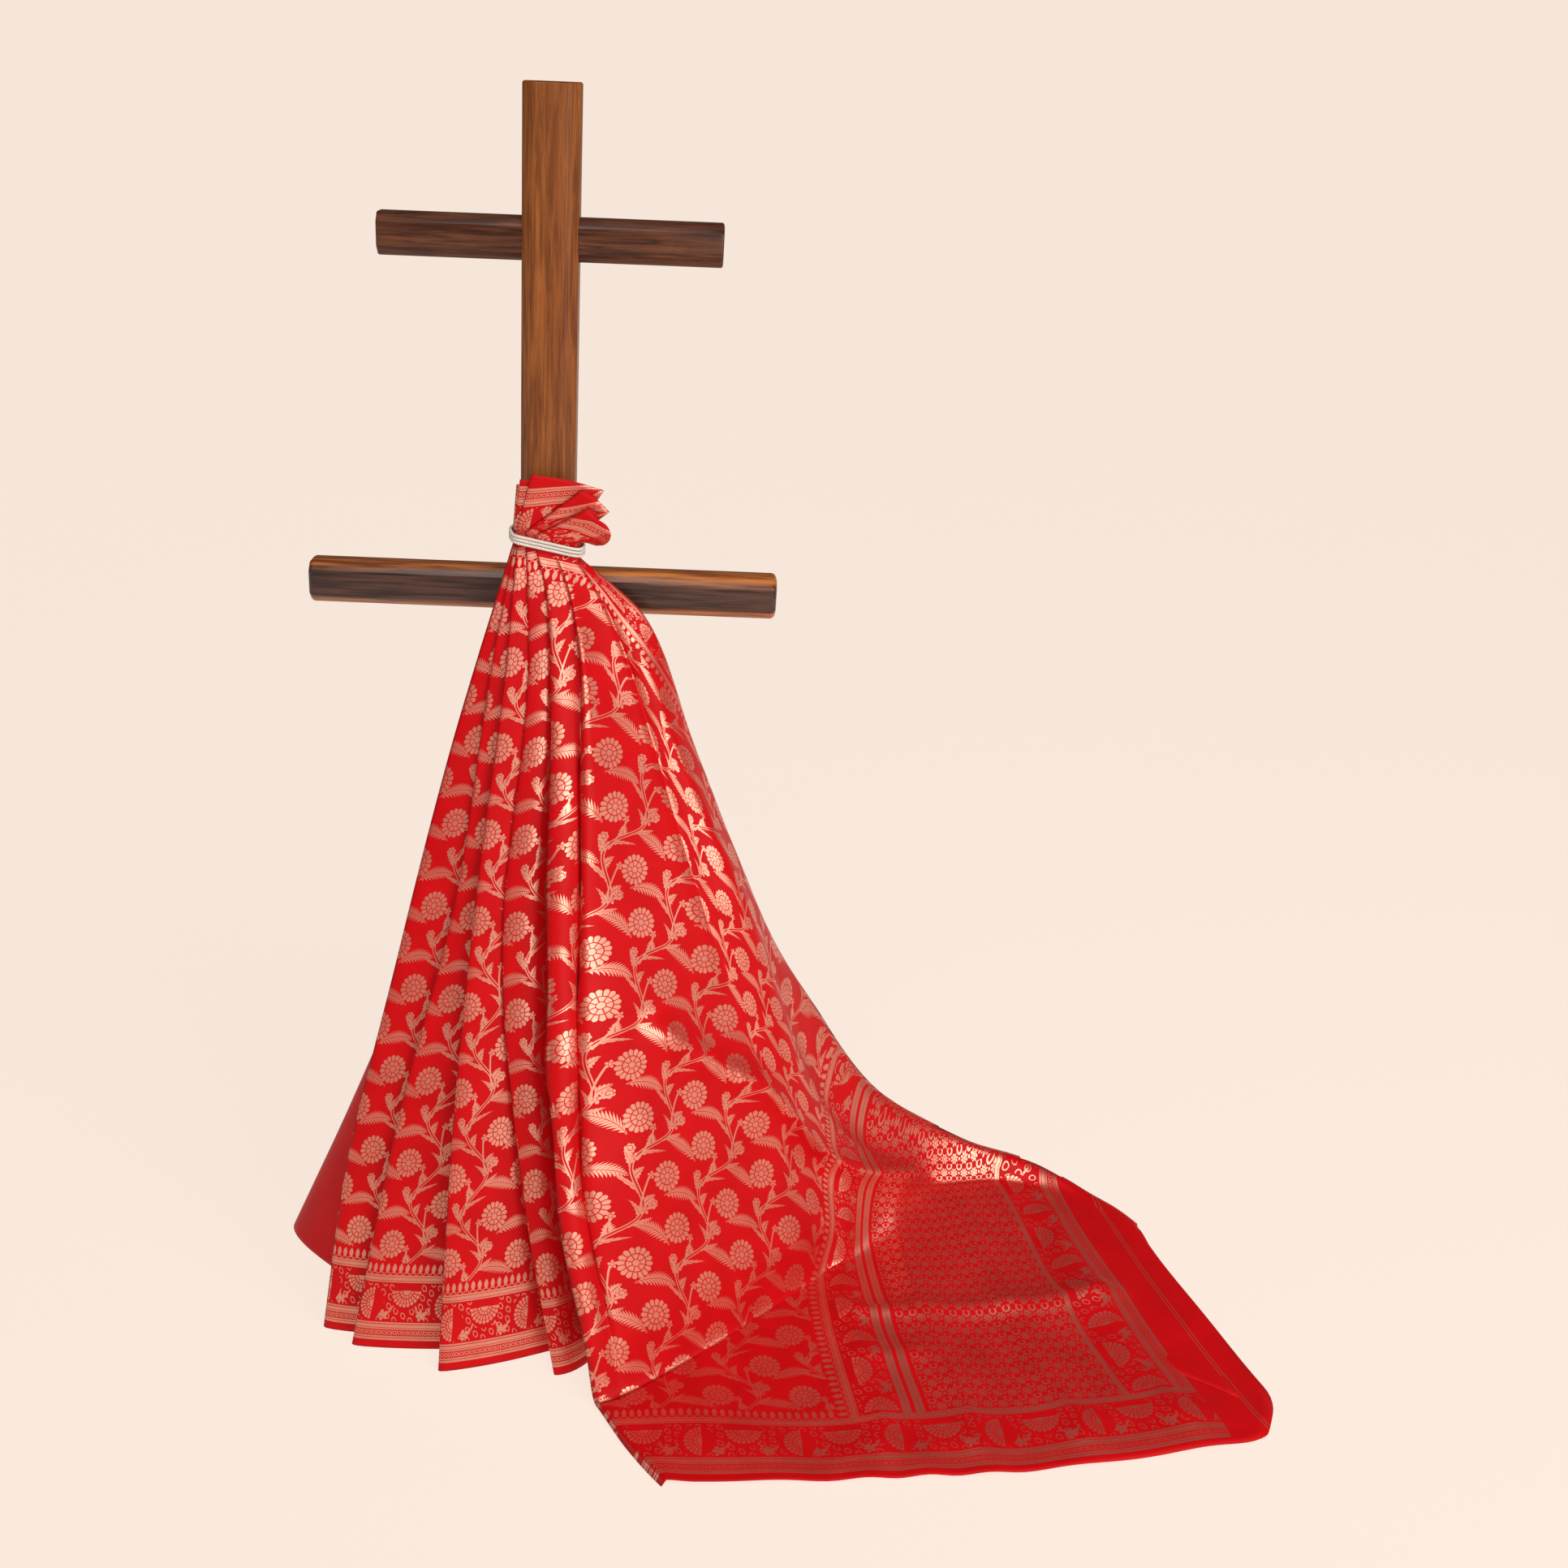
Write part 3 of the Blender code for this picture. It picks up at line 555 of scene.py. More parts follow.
# Folds of the trailing end: lines of points from below the tie to the end edge. lands is
# the number of the point at which the line comes down to the floor. edge is how far the
# line keeps to the cloth's top edge near the tie, as a share.
TRAIL = (
    trail_line("end_2", (0.0416, -0.0540), (0.084, 1.024), 6, 0.15, (
        (0.0745, -0.0640, 0.951), (0.1035, -0.0795, 0.898), (0.168, -0.114, 0.735), (0.266, -0.146, 0.500),
        (0.356, -0.160, 0.255), (0.440, -0.152, 0.075), (0.520, -0.150, 0.012), (0.740, -0.210, 0.0045),
        (0.955, -0.312, 0.0042))),
    trail_line("ridge", (0.0426, -0.0523), (0.0835, 1.021), 7, 0.3, (
        (0.0775, -0.0615, 0.953), (0.1095, -0.0765, 0.905), (0.188, -0.108, 0.740), (0.301, -0.132, 0.500),
        (0.388, -0.124, 0.258), (0.474, -0.094, 0.130), (0.545, -0.064, 0.072), (0.596, -0.034, 0.026),
        (0.700, -0.016, 0.016), (0.800, -0.034, 0.009), (0.930, -0.226, 0.0044))),
    trail_line("valley", (0.0434, -0.0504), (0.082, 1.018), 7, 0.5, (
        (0.0805, -0.0580, 0.956), (0.1175, -0.0685, 0.912), (0.197, -0.084, 0.740), (0.297, -0.088, 0.500),
        (0.395, -0.066, 0.230), (0.480, -0.052, 0.108), (0.552, -0.034, 0.056), (0.612, -0.010, 0.016),
        (0.705, 0.006, 0.010), (0.805, -0.012, 0.009), (0.912, -0.160, 0.0048))),
    trail_line("back_slope", (0.0440, -0.0486), (0.080, 1.015), 6, 0.8, (
        (0.0840, -0.0545, 0.958), (0.1255, -0.0615, 0.917), (0.203, -0.062, 0.740), (0.303, -0.058, 0.500),
        (0.410, -0.030, 0.258), (0.515, -0.010, 0.118), (0.600, 0.010, 0.066), (0.690, 0.022, 0.036),
        (0.790, 0.008, 0.016), (0.900, -0.112, 0.0060))),
    trail_line("crest", (0.0444, -0.0468), (0.077, 1.012), 5, 1.0, (
        (0.088, -0.051, 0.960), (0.132, -0.056, 0.920), (0.205, -0.045, 0.735), (0.340, -0.020, 0.415),
        (0.435, 0.005, 0.260), (0.525, 0.020, 0.140), (0.625, 0.035, 0.080), (0.730, 0.035, 0.040),
        (0.795, 0.020, 0.020), (0.855, -0.030, 0.010), (0.895, -0.085, 0.006))),
    trail_line("crest_back", (0.0446, -0.0448), (0.074, 1.010), 6, 1.0, (
        (0.0865, -0.0475, 0.957), (0.1300, -0.0510, 0.917), (0.204, -0.034, 0.727), (0.296, -0.018, 0.492),
        (0.395, 0.012, 0.294), (0.522, 0.038, 0.118), (0.624, 0.048, 0.062), (0.732, 0.042, 0.022),
        (0.855, -0.022, 0.0055), (0.897, -0.078, 0.0035))),
    trail_line("behind", (0.0445, -0.0428), (0.071, 1.009), 6, 0.9, (
        (0.0850, -0.0440, 0.953), (0.1270, -0.0460, 0.909), (0.196, -0.022, 0.710), (0.280, 0.004, 0.440),
        (0.385, 0.044, 0.160), (0.470, 0.058, 0.050), (0.560, 0.060, 0.004), (0.660, 0.052, 0.0012),
        (0.780, 0.026, 0.0010), (0.904, -0.100, 0.0010))),
    trail_line("under", (0.0441, -0.0410), (0.068, 1.008), 5, 0.6, (
        (0.0830, -0.0415, 0.949), (0.1240, -0.0430, 0.900), (0.187, -0.014, 0.692), (0.266, 0.014, 0.390),
        (0.360, 0.040, 0.080), (0.430, 0.010, 0.004), (0.560, -0.060, 0.0010), (0.700, -0.125, 0.0010),
        (0.914, -0.220, 0.0010))),
    trail_line("back_edge", (0.0435, -0.0395), (0.065, 1.007), 5, 0.3, (
        (0.0810, -0.0395, 0.945), (0.1210, -0.0405, 0.892), (0.180, -0.008, 0.675), (0.256, 0.018, 0.350),
        (0.335, 0.022, 0.030), (0.400, -0.060, 0.0010), (0.520, -0.170, 0.0010), (0.680, -0.280, 0.0010),
        (0.950, -0.440, 0.0010))),
)

# Rows of the sheet, as shares of a line's length to where it lands and of the rest. A pleat
# never lands, so its rows all hang.
ROWS_HANGING = (0.016, 0.05, 0.10, 0.16, 0.24, 0.32, 0.41, 0.50, 0.59, 0.68, 0.77, 0.86, 0.94, 1.0)
ROWS_LYING = (0.10, 0.25, 0.44, 0.64, 0.83, 1.0)
PLEAT_HANGING = 0.80
HANGING_SPLIT = 6
LYING_SPLIT = 7
ROWS_ABOVE = 10
COLUMN_STEP = 0.0106
FEWEST_SAMPLES = 3
MOST_SAMPLES = 28

# Where the cloth lies in its own flat length: u runs along it and v across, from the top edge
# to the hem. The front panel and the end fan out from where the tie grips the cloth.
GRIP_V = 0.086
EDGE_REACH = 0.13
EDGE_SOFT = 0.04
PLEAT_FULL = 1.23
PLEAT_FROM = {"flap": -0.880, "a": -0.550, "b": -0.320, "c": -0.070, "d": 0.250}
MM = 1000

# Three lines of the woven end, in millimetres along the cloth. BANDS is where they, the fine lines
# of the plain strip and the end itself lie on the floor: x near the hem, x under the crest, and how
# far each bows to the left between them.
PALLU_FROM = 866
INNER_LINE = 1246
OUTER_LINE = 1329
BAND_REACH = 0.50
BANDS = (
    {"u": PALLU_FROM / MM, "hem": 0.420, "crest": 0.400, "bow": 0.015},
    {"u": INNER_LINE / MM, "hem": 0.815, "crest": 0.700, "bow": 0.010},
    {"u": OUTER_LINE / MM, "hem": 0.915, "crest": 0.795, "bow": 0.010},
    {"u": 1.379, "hem": 0.975, "crest": 0.840, "bow": 0.010},
    {"u": 1.418, "hem": 1.005, "crest": 0.865, "bow": 0.000},
)

# Creases from the folded cloth: two of those along the length lie at a half and three quarters of
# its width, where it was folded for the shelf. wide is how far out one falls away, and from_to
# where it runs. The cloth also has slight waves and a scalloped hem. None of these reaches the tie.
ACROSS_AT = {0.920: 0.60, 1.030: 0.62, 1.160: 0.66, 1.290: 0.70}
CREASES = (
    {"along": "length", "at": CUT_WIDTH / 2, "wide": 0.022, "high": 0.020, "from_to": (0.48, 1.06)},
    {"along": "length", "at": CUT_WIDTH * 0.75, "wide": 0.018, "high": 0.015, "from_to": (0.93, 1.30)},
    {"along": "length", "at": 0.960, "wide": 0.018, "high": 0.008, "from_to": (0.93, 1.00)},
    *(
        {"along": "width", "at": at, "wide": 0.018, "high": 0.008, "from_to": (start, 1.12)}
        for at, start in ACROSS_AT.items()
    ),
)
RIDGE_ROUND = 0.002
WAVE_HIGH = 0.009
WAVE_FROM_TO = (0.35, 1.10)
WAVE_FADE = 0.15
SCALLOP_HIGH = 0.004
SCALLOP_FROM = 1.08
SCALLOP_FADE = 0.09
CREASED_BELOW = 0.88
CREASED_FADE = 0.15
FADE = 0.04
TO_VIEWER = (0.0, -1.0, 1.0)

# The waves, in radians for each metre: two that cross, and how far each is swayed or slanted.
WAVE_ALONG = 17
WAVE_ACROSS = 12
WAVE_SWAY = 1.3
WAVE_SWAYS = 9
WAVE_SLANT = 5
WAVE_SHIFT = 0.7
SCALLOPS = 31
SCALLOP_SWAYS = 13


def smooth_steps(known, values, wanted):
    """Values between known ones by a monotone cubic, so that no line overshoots its points."""
    known = np.asarray(known, float)
    values = np.asarray(values, float)
    gaps = np.diff(known)
    slopes = np.diff(values) / gaps
    tangents = np.empty_like(values)
    tangents[0] = slopes[0]
    tangents[-1] = slopes[-1]
    same = slopes[:-1] * slopes[1:] > 0
    w1 = 2 * gaps[1:] + gaps[:-1]
    w2 = gaps[1:] + 2 * gaps[:-1]
    safe = np.where(same, slopes[:-1], 1.0), np.where(same, slopes[1:], 1.0)
    tangents[1:-1] = np.where(same, (w1 + w2) / (w1 / safe[0] + w2 / safe[1]), 0.0)
    cell = np.clip(np.searchsorted(known, wanted, side="right") - 1, 0, len(gaps) - 1)
    h = gaps[cell]
    s = (wanted - known[cell]) / h
    return (
        (1 + 2 * s) * (1 - s) ** 2 * values[cell]
        + s * (1 - s) ** 2 * h * tangents[cell]
        + s * s * (3 - 2 * s) * values[cell + 1]
        + s * s * (s - 1) * h * tangents[cell + 1]
    )


def split_rows(shares, parts):
    """The shares with each step between them cut into parts."""
    whole = np.array((0.0, *shares))
    steps = np.arange(1, len(shares) * parts + 1) / parts
    return np.interp(steps, np.arange(len(whole)), whole)


def along(points, lands):
    """Places down the smooth line through the points, with a row just where it lands."""
    points = np.asarray(points, float)
    travelled = lengths_of(points)
    length = travelled[-1]
    landing = PLEAT_HANGING * length if lands is None else travelled[lands]
    hanging_rows = landing * split_rows(ROWS_HANGING, HANGING_SPLIT)
    lying_rows = landing + (length - landing) * split_rows(ROWS_LYING, LYING_SPLIT)
    wanted = np.concatenate([hanging_rows, lying_rows])
    return np.stack([smooth_steps(travelled, points[:, i], wanted) for i in range(3)], axis=1)


def neck(tie_place, side):
    """The place of a line at the upper or lower side of the tie, which slopes down to the right."""
    height = NECK_Z - slope_down(tie_place[0]) + NECK_HALF * side
    return np.array([*tie_place, height])


def bent_x(start, bends, foot_x, low, height):
    """A fold's x at a height, on a smooth line from the tie through its bends to its foot."""
    drops = [-start[2], *(-bend[0] for bend in bends), -low]
    places = [start[0], *(bend[1] for bend in bends), foot_x]
    return float(smooth_steps(drops, places, -height))


def hanging(tie_place, foot, low, bends=None, depth=0.0, fan=0.0):
    """Points of a line that hangs from the tie to its foot, swelling a little towards the viewer."""
    start = neck(tie_place, -1)
    points = [start]
    for height in (*HEIGHTS, low):
        drop = (start[2] - height) / (start[2] - low)
        if bends:
            x = bent_x(start, bends, foot[0], low, height)
        else:
            early = drop / FAN_MOST_AT * math.exp(1 - drop / FAN_MOST_AT)
            x = tie_place[0] + (foot[0] - tie_place[0]) * drop + (fan * early if height != low else 0.0)
        shown = min(1.0, DEPTH_GROWS * drop, DEPTH_FADES * (1 - drop))
        y = tie_place[1] + (foot[1] - tie_place[1]) * drop - FAN_OUT * 4 * drop * (1 - drop) + depth * shown
        points.append(np.array([x, y, height]))
    return points


def between(left, right, share, forward):
    """A line on the face of a pleat, at a share of the way from its left fold to its right one."""
    made = [a + (b - a) * share for a, b in zip(left, right)]
    grown = [forward * min(1.0, FACE_GROWS * i) for i in range(len(made))]
    return [point - np.array([0.0, more, 0.0]) for point, more in zip(made, grown)]


def whole_line(tie_place, top, below):
    """All the places of a line, from its end above the tie to its foot."""
    top_y = FIRST_LAYER_Y + (tie_place[1] - FIRST_LAYER_Y) * TOP_SPREAD
    rim = neck(tie_place, 1)
    peak = np.array([top[0], top_y, top[1]])
    above = [peak + (rim - peak) * i / ROWS_ABOVE for i in range(ROWS_ABOVE)]
    return np.array([*above, rim, neck(tie_place, 0), neck(tie_place, -1), *below])


GRIP_ROW = ROWS_ABOVE + 2


def layer_y(layer):
    return FIRST_LAYER_Y - LAYER_PITCH * layer


def pleat_lines():
    """The lines of the pleats, as groups: each group is one pleat, with the number of its left fold."""
    groups = []
    for pleat in PLEATS:
        lines = []

        def fold(x, foot, layers, top, bends):
            for side, layer in enumerate(layers):
                place = (x, layer_y(layer))
                low_y = foot[1] + FOLD_DEPTH * (0.5 - side)
                points = hanging(place, (foot[0], low_y), FLOOR_Z, bends, fan=TUCK_FAN)
                lines.append(whole_line(place, top, along(points, None)))
            return points

        layer = pleat["layer"]
        bends = BENDS[pleat["name"]]
        if pleat["name"] == "flap":
            place = (pleat["tie_x"], layer_y(0))
            for line in INNER_END:
                turned = BENDS.get(line["fold"])
                points = hanging(line["tie"], line["foot"], FLOOR_Z, turned)
                lines.append(whole_line(line["tie"], line["top"], along(points, None)))
            left = hanging(place, pleat["foot"], FLOOR_Z, bends)
            lines.append(whole_line(place, pleat["top"], along(left, None)))
        else:
            left = fold(pleat["tie_x"], pleat["foot"], (layer, layer + 1), pleat["top"], bends)
            layer += 1
        first = len(lines) - 1
        right = hanging((pleat["tuck_x"], layer_y(layer)), pleat["tuck"], FLOOR_Z, fan=TUCK_FAN)
        for share, forward in pleat["face"]:
            place = (pleat["tie_x"] + (pleat["tuck_x"] - pleat["tie_x"]) * share, layer_y(layer))
            top = [a + (b - a) * share for a, b in zip(pleat["top"], pleat["tuck_top"])]
            face = along(between(left, right, share, forward), None)
            lines.append(whole_line(place, (top[0], top[1] + FACE_TOP_RISE), face))
        fold(pleat["tuck_x"], pleat["tuck"], (layer, layer + 1), pleat["tuck_top"], None)
        groups.append((lines, first))
    return groups


def panel_lines():
    """The lines of the front panel and of the trailing end."""
    lines = []
    for line in FRONT:
        bends = BENDS.get(line["fold"])
        points = hanging(line["tie"], line["touch"], line["low"], bends, line["depth"], line["fan"])
        lands = len(points) - 1
        points += [np.array([*line["middle"], line["low"]]), np.array([*line["end"], line["low"]])]
        lines.append(whole_line(line["tie"], line["top"], along(points, lands)))
    for line in TRAIL:
        points = [neck(line["tie"], -1), *line["points"]]
        lines.append(whole_line(line["tie"], line["top"], along(points, line["lands"] + 1)))
    return lines


def flat_pleats(groups):
    """Flat places on the pleats: threads run down beside each left fold, and u grows to the right."""
    flats = []
    for pleat, (lines, first) in zip(PLEATS, groups):
        offsets = [np.zeros(len(lines[0]))]
        for a, b in zip(lines, lines[1:]):
            offsets.append(offsets[-1] + PLEAT_FULL * np.linalg.norm(b - a, axis=1))
        for line, offset in zip(lines, offsets):
            travelled = lengths_of(line)
            v = CUT_WIDTH - (travelled[-1] - travelled)
            flats.append(np.stack([PLEAT_FROM[pleat["name"]] + offset - offsets[first], v], axis=1))
    return flats


def from_hem(x, y):
    """How far a place on the floor lies from the hem, which is carried on straight past both its ends."""
    names = [line["name"] for line in FRONT]
    shown = FRONT[names.index("front_fold"):names.index("hem_corner") + 1]
    hem = np.array([line["end"] for line in shown])
    sides = np.diff(hem, axis=0)
    offsets = np.array([x, y]) - hem[:-1]
    share = (offsets * sides).sum(axis=1) / (sides * sides).sum(axis=1)
    share[1:] = np.maximum(share[1:], 0)
    share[:-1] = np.minimum(share[:-1], 1)
    return float(np.linalg.norm(offsets - sides * share[:, None], axis=1).min())


def floor_place(x, y):
    """The flat place of cloth that lies on the floor: u from the woven bands, v from the hem's distance."""
    share = np.clip(-y / BAND_REACH, 0.0, 1.0)
    band_x = np.array([
        band["crest"] + (band["hem"] - band["crest"]) * share - band["bow"] * 4 * share * (1 - share)
        for band in BANDS
    ])
    band_u = np.array([band["u"] for band in BANDS])
    inner = min(x - band_x[0], 0.0)
    outer = max(x - band_x[-1], 0.0)
    u = np.interp(x, band_x, band_u) + inner + outer
    return u, CUT_WIDTH - from_hem(x, y)


def flat_panel(lines):
    """Flat places on the panel and the end. Threads fan out from the tie to where each line lands."""
    land = GRIP_ROW + HANGING_SPLIT * len(ROWS_HANGING)
    names = [line["name"] for line in (*FRONT, *TRAIL)]
    fold = names.index("front_fold")
    crest = names.index("crest")
    across_rows = np.cumsum([np.zeros(len(lines[0])), *(
        np.linalg.norm(b - a, axis=1) for a, b in zip(lines, lines[1:])
    )], axis=0)
    across_rows = across_rows - across_rows[fold]
    relief = np.zeros(len(lines[0]))
    flats = []
    for number, line in enumerate(lines):
        if number > fold:
            step = line - lines[number - 1]
            whole_step = np.linalg.norm(step, axis=1)
            plan_step = np.linalg.norm(step[:, :2], axis=1)
            relief = relief + whole_step - (plan_step if number <= crest else 0.0)
        flat = np.empty((len(line), 2))
        if number <= crest:
            low = np.array([floor_place(x, y) for x, y in line[land:, :2]])
        else:
            low = flats[crest][land:].copy()
            low[:, 1] += crest_relief[land:]
        low[:, 1] -= relief[land:]
        if number == crest:
            crest_relief = relief.copy()
        flat[land:] = low
        travelled = lengths_of(line)
        share = (travelled - travelled[GRIP_ROW]) / (travelled[land] - travelled[GRIP_ROW])
        start = np.array([across_rows[number][GRIP_ROW], GRIP_V])
        hung = share[:land, None]
        flat[:land] = start + (low[0] - start) * hung
        if number > len(FRONT) - 1:
            kept = TRAIL[number - len(FRONT)]["edge"]
            down = np.clip(share[:land], 0, 1)
            flat[:land, 1] -= EDGE_REACH * kept * (1 - down) * (1 - np.exp(-down / EDGE_SOFT))
        above = share < 0
        flat[above, 0] = across_rows[number][above]
        flat[above, 1] = GRIP_V - (travelled[GRIP_ROW] - travelled[above])
        flats.append(flat)
    return eased(np.array(flats), across_rows, fold, names.index("long_ridge"), crest)


def eased(flats, across_rows, fold, ridge, crest):
    """Lets the long fold keep its whole width of cloth, and gives back the surplus over the panel."""
    apart = np.maximum(across_rows, flats[:, :, 0] - flats[fold, :, 0])
    surplus = np.maximum(across_rows[ridge] - (flats[ridge, :, 0] - flats[fold, :, 0]), 0.0)
    for number in range(fold, ridge + 1):
        flats[number, :, 0] = flats[fold, :, 0] + np.where(surplus > 0, across_rows[number], apart[number])
    for number in range(ridge + 1, len(flats)):
        left = max(0.0, 1 - (number - ridge) / (crest - ridge))
        flats[number, :, 0] += surplus * left
    return list(flats)


def across(cage):
    """Runs a quadratic B-spline across the lines, with more samples where they lie further apart."""
    count = len(cage)
    made = [cage[0]]
    for i in range(1, count - 1):
        start = cage[0] if i == 1 else (cage[i - 1] + cage[i]) / 2
        end = cage[-1] if i == count - 2 else (cage[i] + cage[i + 1]) / 2
        wide = np.linalg.norm((end - start)[:, :3], axis=1).max()
        samples = int(np.clip(round(wide / COLUMN_STEP), FEWEST_SAMPLES, MOST_SAMPLES))
        for step in range(1, samples + 1):
            t = step / samples
            made.append(start * (1 - t) ** 2 + cage[i] * 2 * t * (1 - t) + end * t * t)
    return np.array(made)


def draped_sheet():
    """The sheet as a grid of places and flat places: columns across it and rows down it."""
    groups = pleat_lines()
    panel = panel_lines()
    lines = [line for group, _ in groups for line in group] + panel
    flats = flat_pleats(groups) + flat_panel(panel)
    is_panel = np.zeros((len(lines), len(lines[0]), 1))
    is_panel[-len(panel):] = 1.0
    return across(np.concatenate([np.array(lines), np.array(flats), is_panel], axis=2))


def swell(place, at, wide):
    """A ridge with a crisp top, falling off to either side."""
    return np.exp((RIDGE_ROUND - np.hypot(place - at, RIDGE_ROUND)) / wide)


def stretch(place, low, high, soft=FADE):
    """1 between low and high, fading out over soft beyond each."""
    return np.clip((place - low) / soft + 1, 0, 1) * np.clip((high - place) / soft + 1, 0, 1)


def creased(grid):
    """Raises the creases of the folded cloth, its slight waves and its hem, towards the viewer or up."""
    places = grid[..., :3]
    u, v, panel = grid[..., 3], grid[..., 4], grid[..., 5]
    normals = np.cross(np.gradient(places, axis=0), np.gradient(places, axis=1))
    normals /= np.maximum(np.linalg.norm(normals, axis=2, keepdims=True), 1e-9)
    facing = np.sign(normals @ TO_VIEWER)
    normals *= np.where(facing == 0, 1.0, facing)[..., None]
    raised = np.zeros_like(u)
    for crease in CREASES:
        place, other = (u, v) if crease["along"] == "width" else (v, u)
        ridge = crease["high"] * swell(place, crease["at"], crease["wide"])
        raised += ridge * stretch(other, *crease["from_to"])
    wave = np.sin(u * WAVE_ALONG + np.sin(v * WAVE_SWAYS) * WAVE_SWAY)
    wave = wave * np.sin(v * WAVE_ACROSS + u * WAVE_SLANT + WAVE_SHIFT)
    raised += WAVE_HIGH * (0.5 + 0.5 * wave) * stretch(v, *WAVE_FROM_TO, WAVE_FADE)
    scallop = SCALLOP_HIGH * np.sin(u * SCALLOPS + np.sin(u * SCALLOP_SWAYS)) ** 2
    raised += scallop * np.clip((v - SCALLOP_FROM) / SCALLOP_FADE, 0, 1)
    clear = np.clip((CREASED_BELOW - places[..., 2]) / CREASED_FADE, 0, 1)
    made = grid.copy()
    made[..., :3] += normals * (raised * panel * clear)[..., None]
    return made


def sheet_mesh(grid, name):
    columns, rows = grid.shape[:2]
    index = np.arange(columns * rows).reshape(columns, rows)
    faces = np.stack([index[:-1, :-1], index[:-1, 1:], index[1:, 1:], index[1:, :-1]], axis=-1)
    mesh = bpy.data.meshes.new(name)
    mesh.from_pydata(grid[..., :3].reshape(-1, 3).tolist(), [], faces.reshape(-1, 4).tolist())
    corners = np.empty(len(mesh.loops), np.int32)
    mesh.loops.foreach_get("vertex_index", corners)
    layer = mesh.uv_layers.new(name="cloth")
    layer.data.foreach_set("uv", grid[..., 3:5].reshape(-1, 2)[corners].astype(np.float32).ravel())
    mesh.shade_smooth()
    return mesh


grid = creased(draped_sheet())
sari = bpy.data.objects.new("draped_sari", sheet_mesh(grid, "draped_sari"))
scene.collection.objects.link(sari)
wall = sari.modifiers.new("thickness", "SOLIDIFY")
wall.thickness = CLOTH
wall.offset = 0.0


def inside(value, soft=0.5):
    """1 where the value is above zero and 0 below, with a soft step in millimetres."""
    return value.ramp(1 / soft, 0.5)


def stroke(distance, width, soft=0.5):
    """A line of this width where the distance is zero."""
    return abs(distance).ramp(-1 / soft, width / 2 / soft + 0.5)


def either(first, *others):
    for other in others:
        first = first.math("MAXIMUM", other)
    return first


def both(first, *others):
    for other in others:
        first = first * other
    return first


def wrapped(value, period):
    """The value within half a period of zero."""
    return value.math("WRAP", period / 2, -period / 2)


def polar(x, y):
    arm = x.make("ShaderNodeCombineXYZ", None, {0: x, 1: y})
    return x.make("ShaderNodeVectorMath", {"operation": "LENGTH"}, {0: arm}, output=1), y.math("ARCTAN2", x)


def petals(angle, count):
    """1 on the middle of each petal and 0 on the lines between them."""
    return abs((angle * (count / 2)).math("SINE"))


def bloom(x, y, count, deep, size, ring, line):
    """A flower with so many petals of this depth round a disc, and a thin ring left out of it."""
    r, angle = polar(x, y)
    return both(inside(petals(angle, count) * deep + size - r), 1 - stroke(r - ring, line))


# The floral net, in millimetres, with y up: one waving vine in each repeat, and two flowers, each
# a half turn of the pattern's other hand. Places are from the flower's middle.
NET = 112
NET_FROM = (678, 969)
VINE_MIDDLE = -35
VINE_SWING = 19
LEAF_APART = 28
LEAF_LONG = 17
LEAF_WIDE = 5.4
LEAF_LEAN = 0.9
FLOWER_RADIUS = 17.8
FLOWER_RING = 11.8
FLOWER_EYE = 4.6
STEM_AT = (-23, -29)
STEM_HALF = 21
COLLAR_AT = (-24, -6)
BIG_LEAF_AT = (9, 44)
BIG_LEAF_HALF = 29
BIG_LEAF_WIDE = 7.6
NET_BUD_AT = (48, 17)
STAR_AT = (-14, -48)


def from_place(x, y, at):
    """Distances from this place in the nearest repeat of the net."""
    return wrapped(x - at[0], NET), wrapped(y - at[1], NET)


def net_flower(x, y):
    """One hand of the net's flower with its stem, leaf, bud and star, from the flower's middle."""
    r, angle = polar(wrapped(x, NET), wrapped(y, NET) * 1.05)
    rim = petals(angle, 16)
    ring = petals(angle, 8)
    lines = either(
        both(inside(0.55 - rim * r / 9), inside(r - (FLOWER_RING + 0.8))),
        stroke(r - FLOWER_RING, 1.4),
        both(inside(0.40 - ring * r / 6), inside((FLOWER_RING - 0.4) - r), inside(r - FLOWER_EYE)),
        stroke(r - FLOWER_EYE, 1.0),
    )
    flower = inside(rim * 3.0 + FLOWER_RADIUS - r) * (1 - lines)

    up_stem = wrapped(y - STEM_AT[1], NET)
    off_stem = wrapped(x - STEM_AT[0], NET)
    bend = off_stem + 3 - ((up_stem - 21) / 42).math("POWER", 2) * 6
    stem = both(stroke(bend, 2.4), inside(STEM_HALF - abs(up_stem)))
    collar = bloom(*from_place(x, y, COLLAR_AT), 5, 3.4, 2.0, 2.0, 0.7)

    leaf_x, leaf_y = from_place(x, y, BIG_LEAF_AT)
    rise = (leaf_x / BIG_LEAF_HALF).math("POWER", 2)
    spine = leaf_y + leaf_x * 0.19 + rise * 7
    veins = ((leaf_x + abs(spine) * 1.2) / 4.2).math("FRACT")
    wide = (1 - rise) * BIG_LEAF_WIDE
    leaf = both(
        inside(wide * (veins * 0.95 + 0.35) - abs(spine)), inside(wide), 1 - stroke(spine, 1.0),
        1 - both(inside(0.26 - veins, 0.15), inside(abs(spine) - 1.4)),
    )

    r, angle = polar(*from_place(x, y, NET_BUD_AT))
    bud = both(inside(petals(angle, 7) * 1.6 + 5.2 - r), 1 - stroke(r - angle * 0.5 - 3.0, 0.9))
    star = bloom(*from_place(x, y, STAR_AT), 5, 4.4, 2.4, 2.3, 0.8)
    return either(flower, stem, collar, leaf, bud, star)


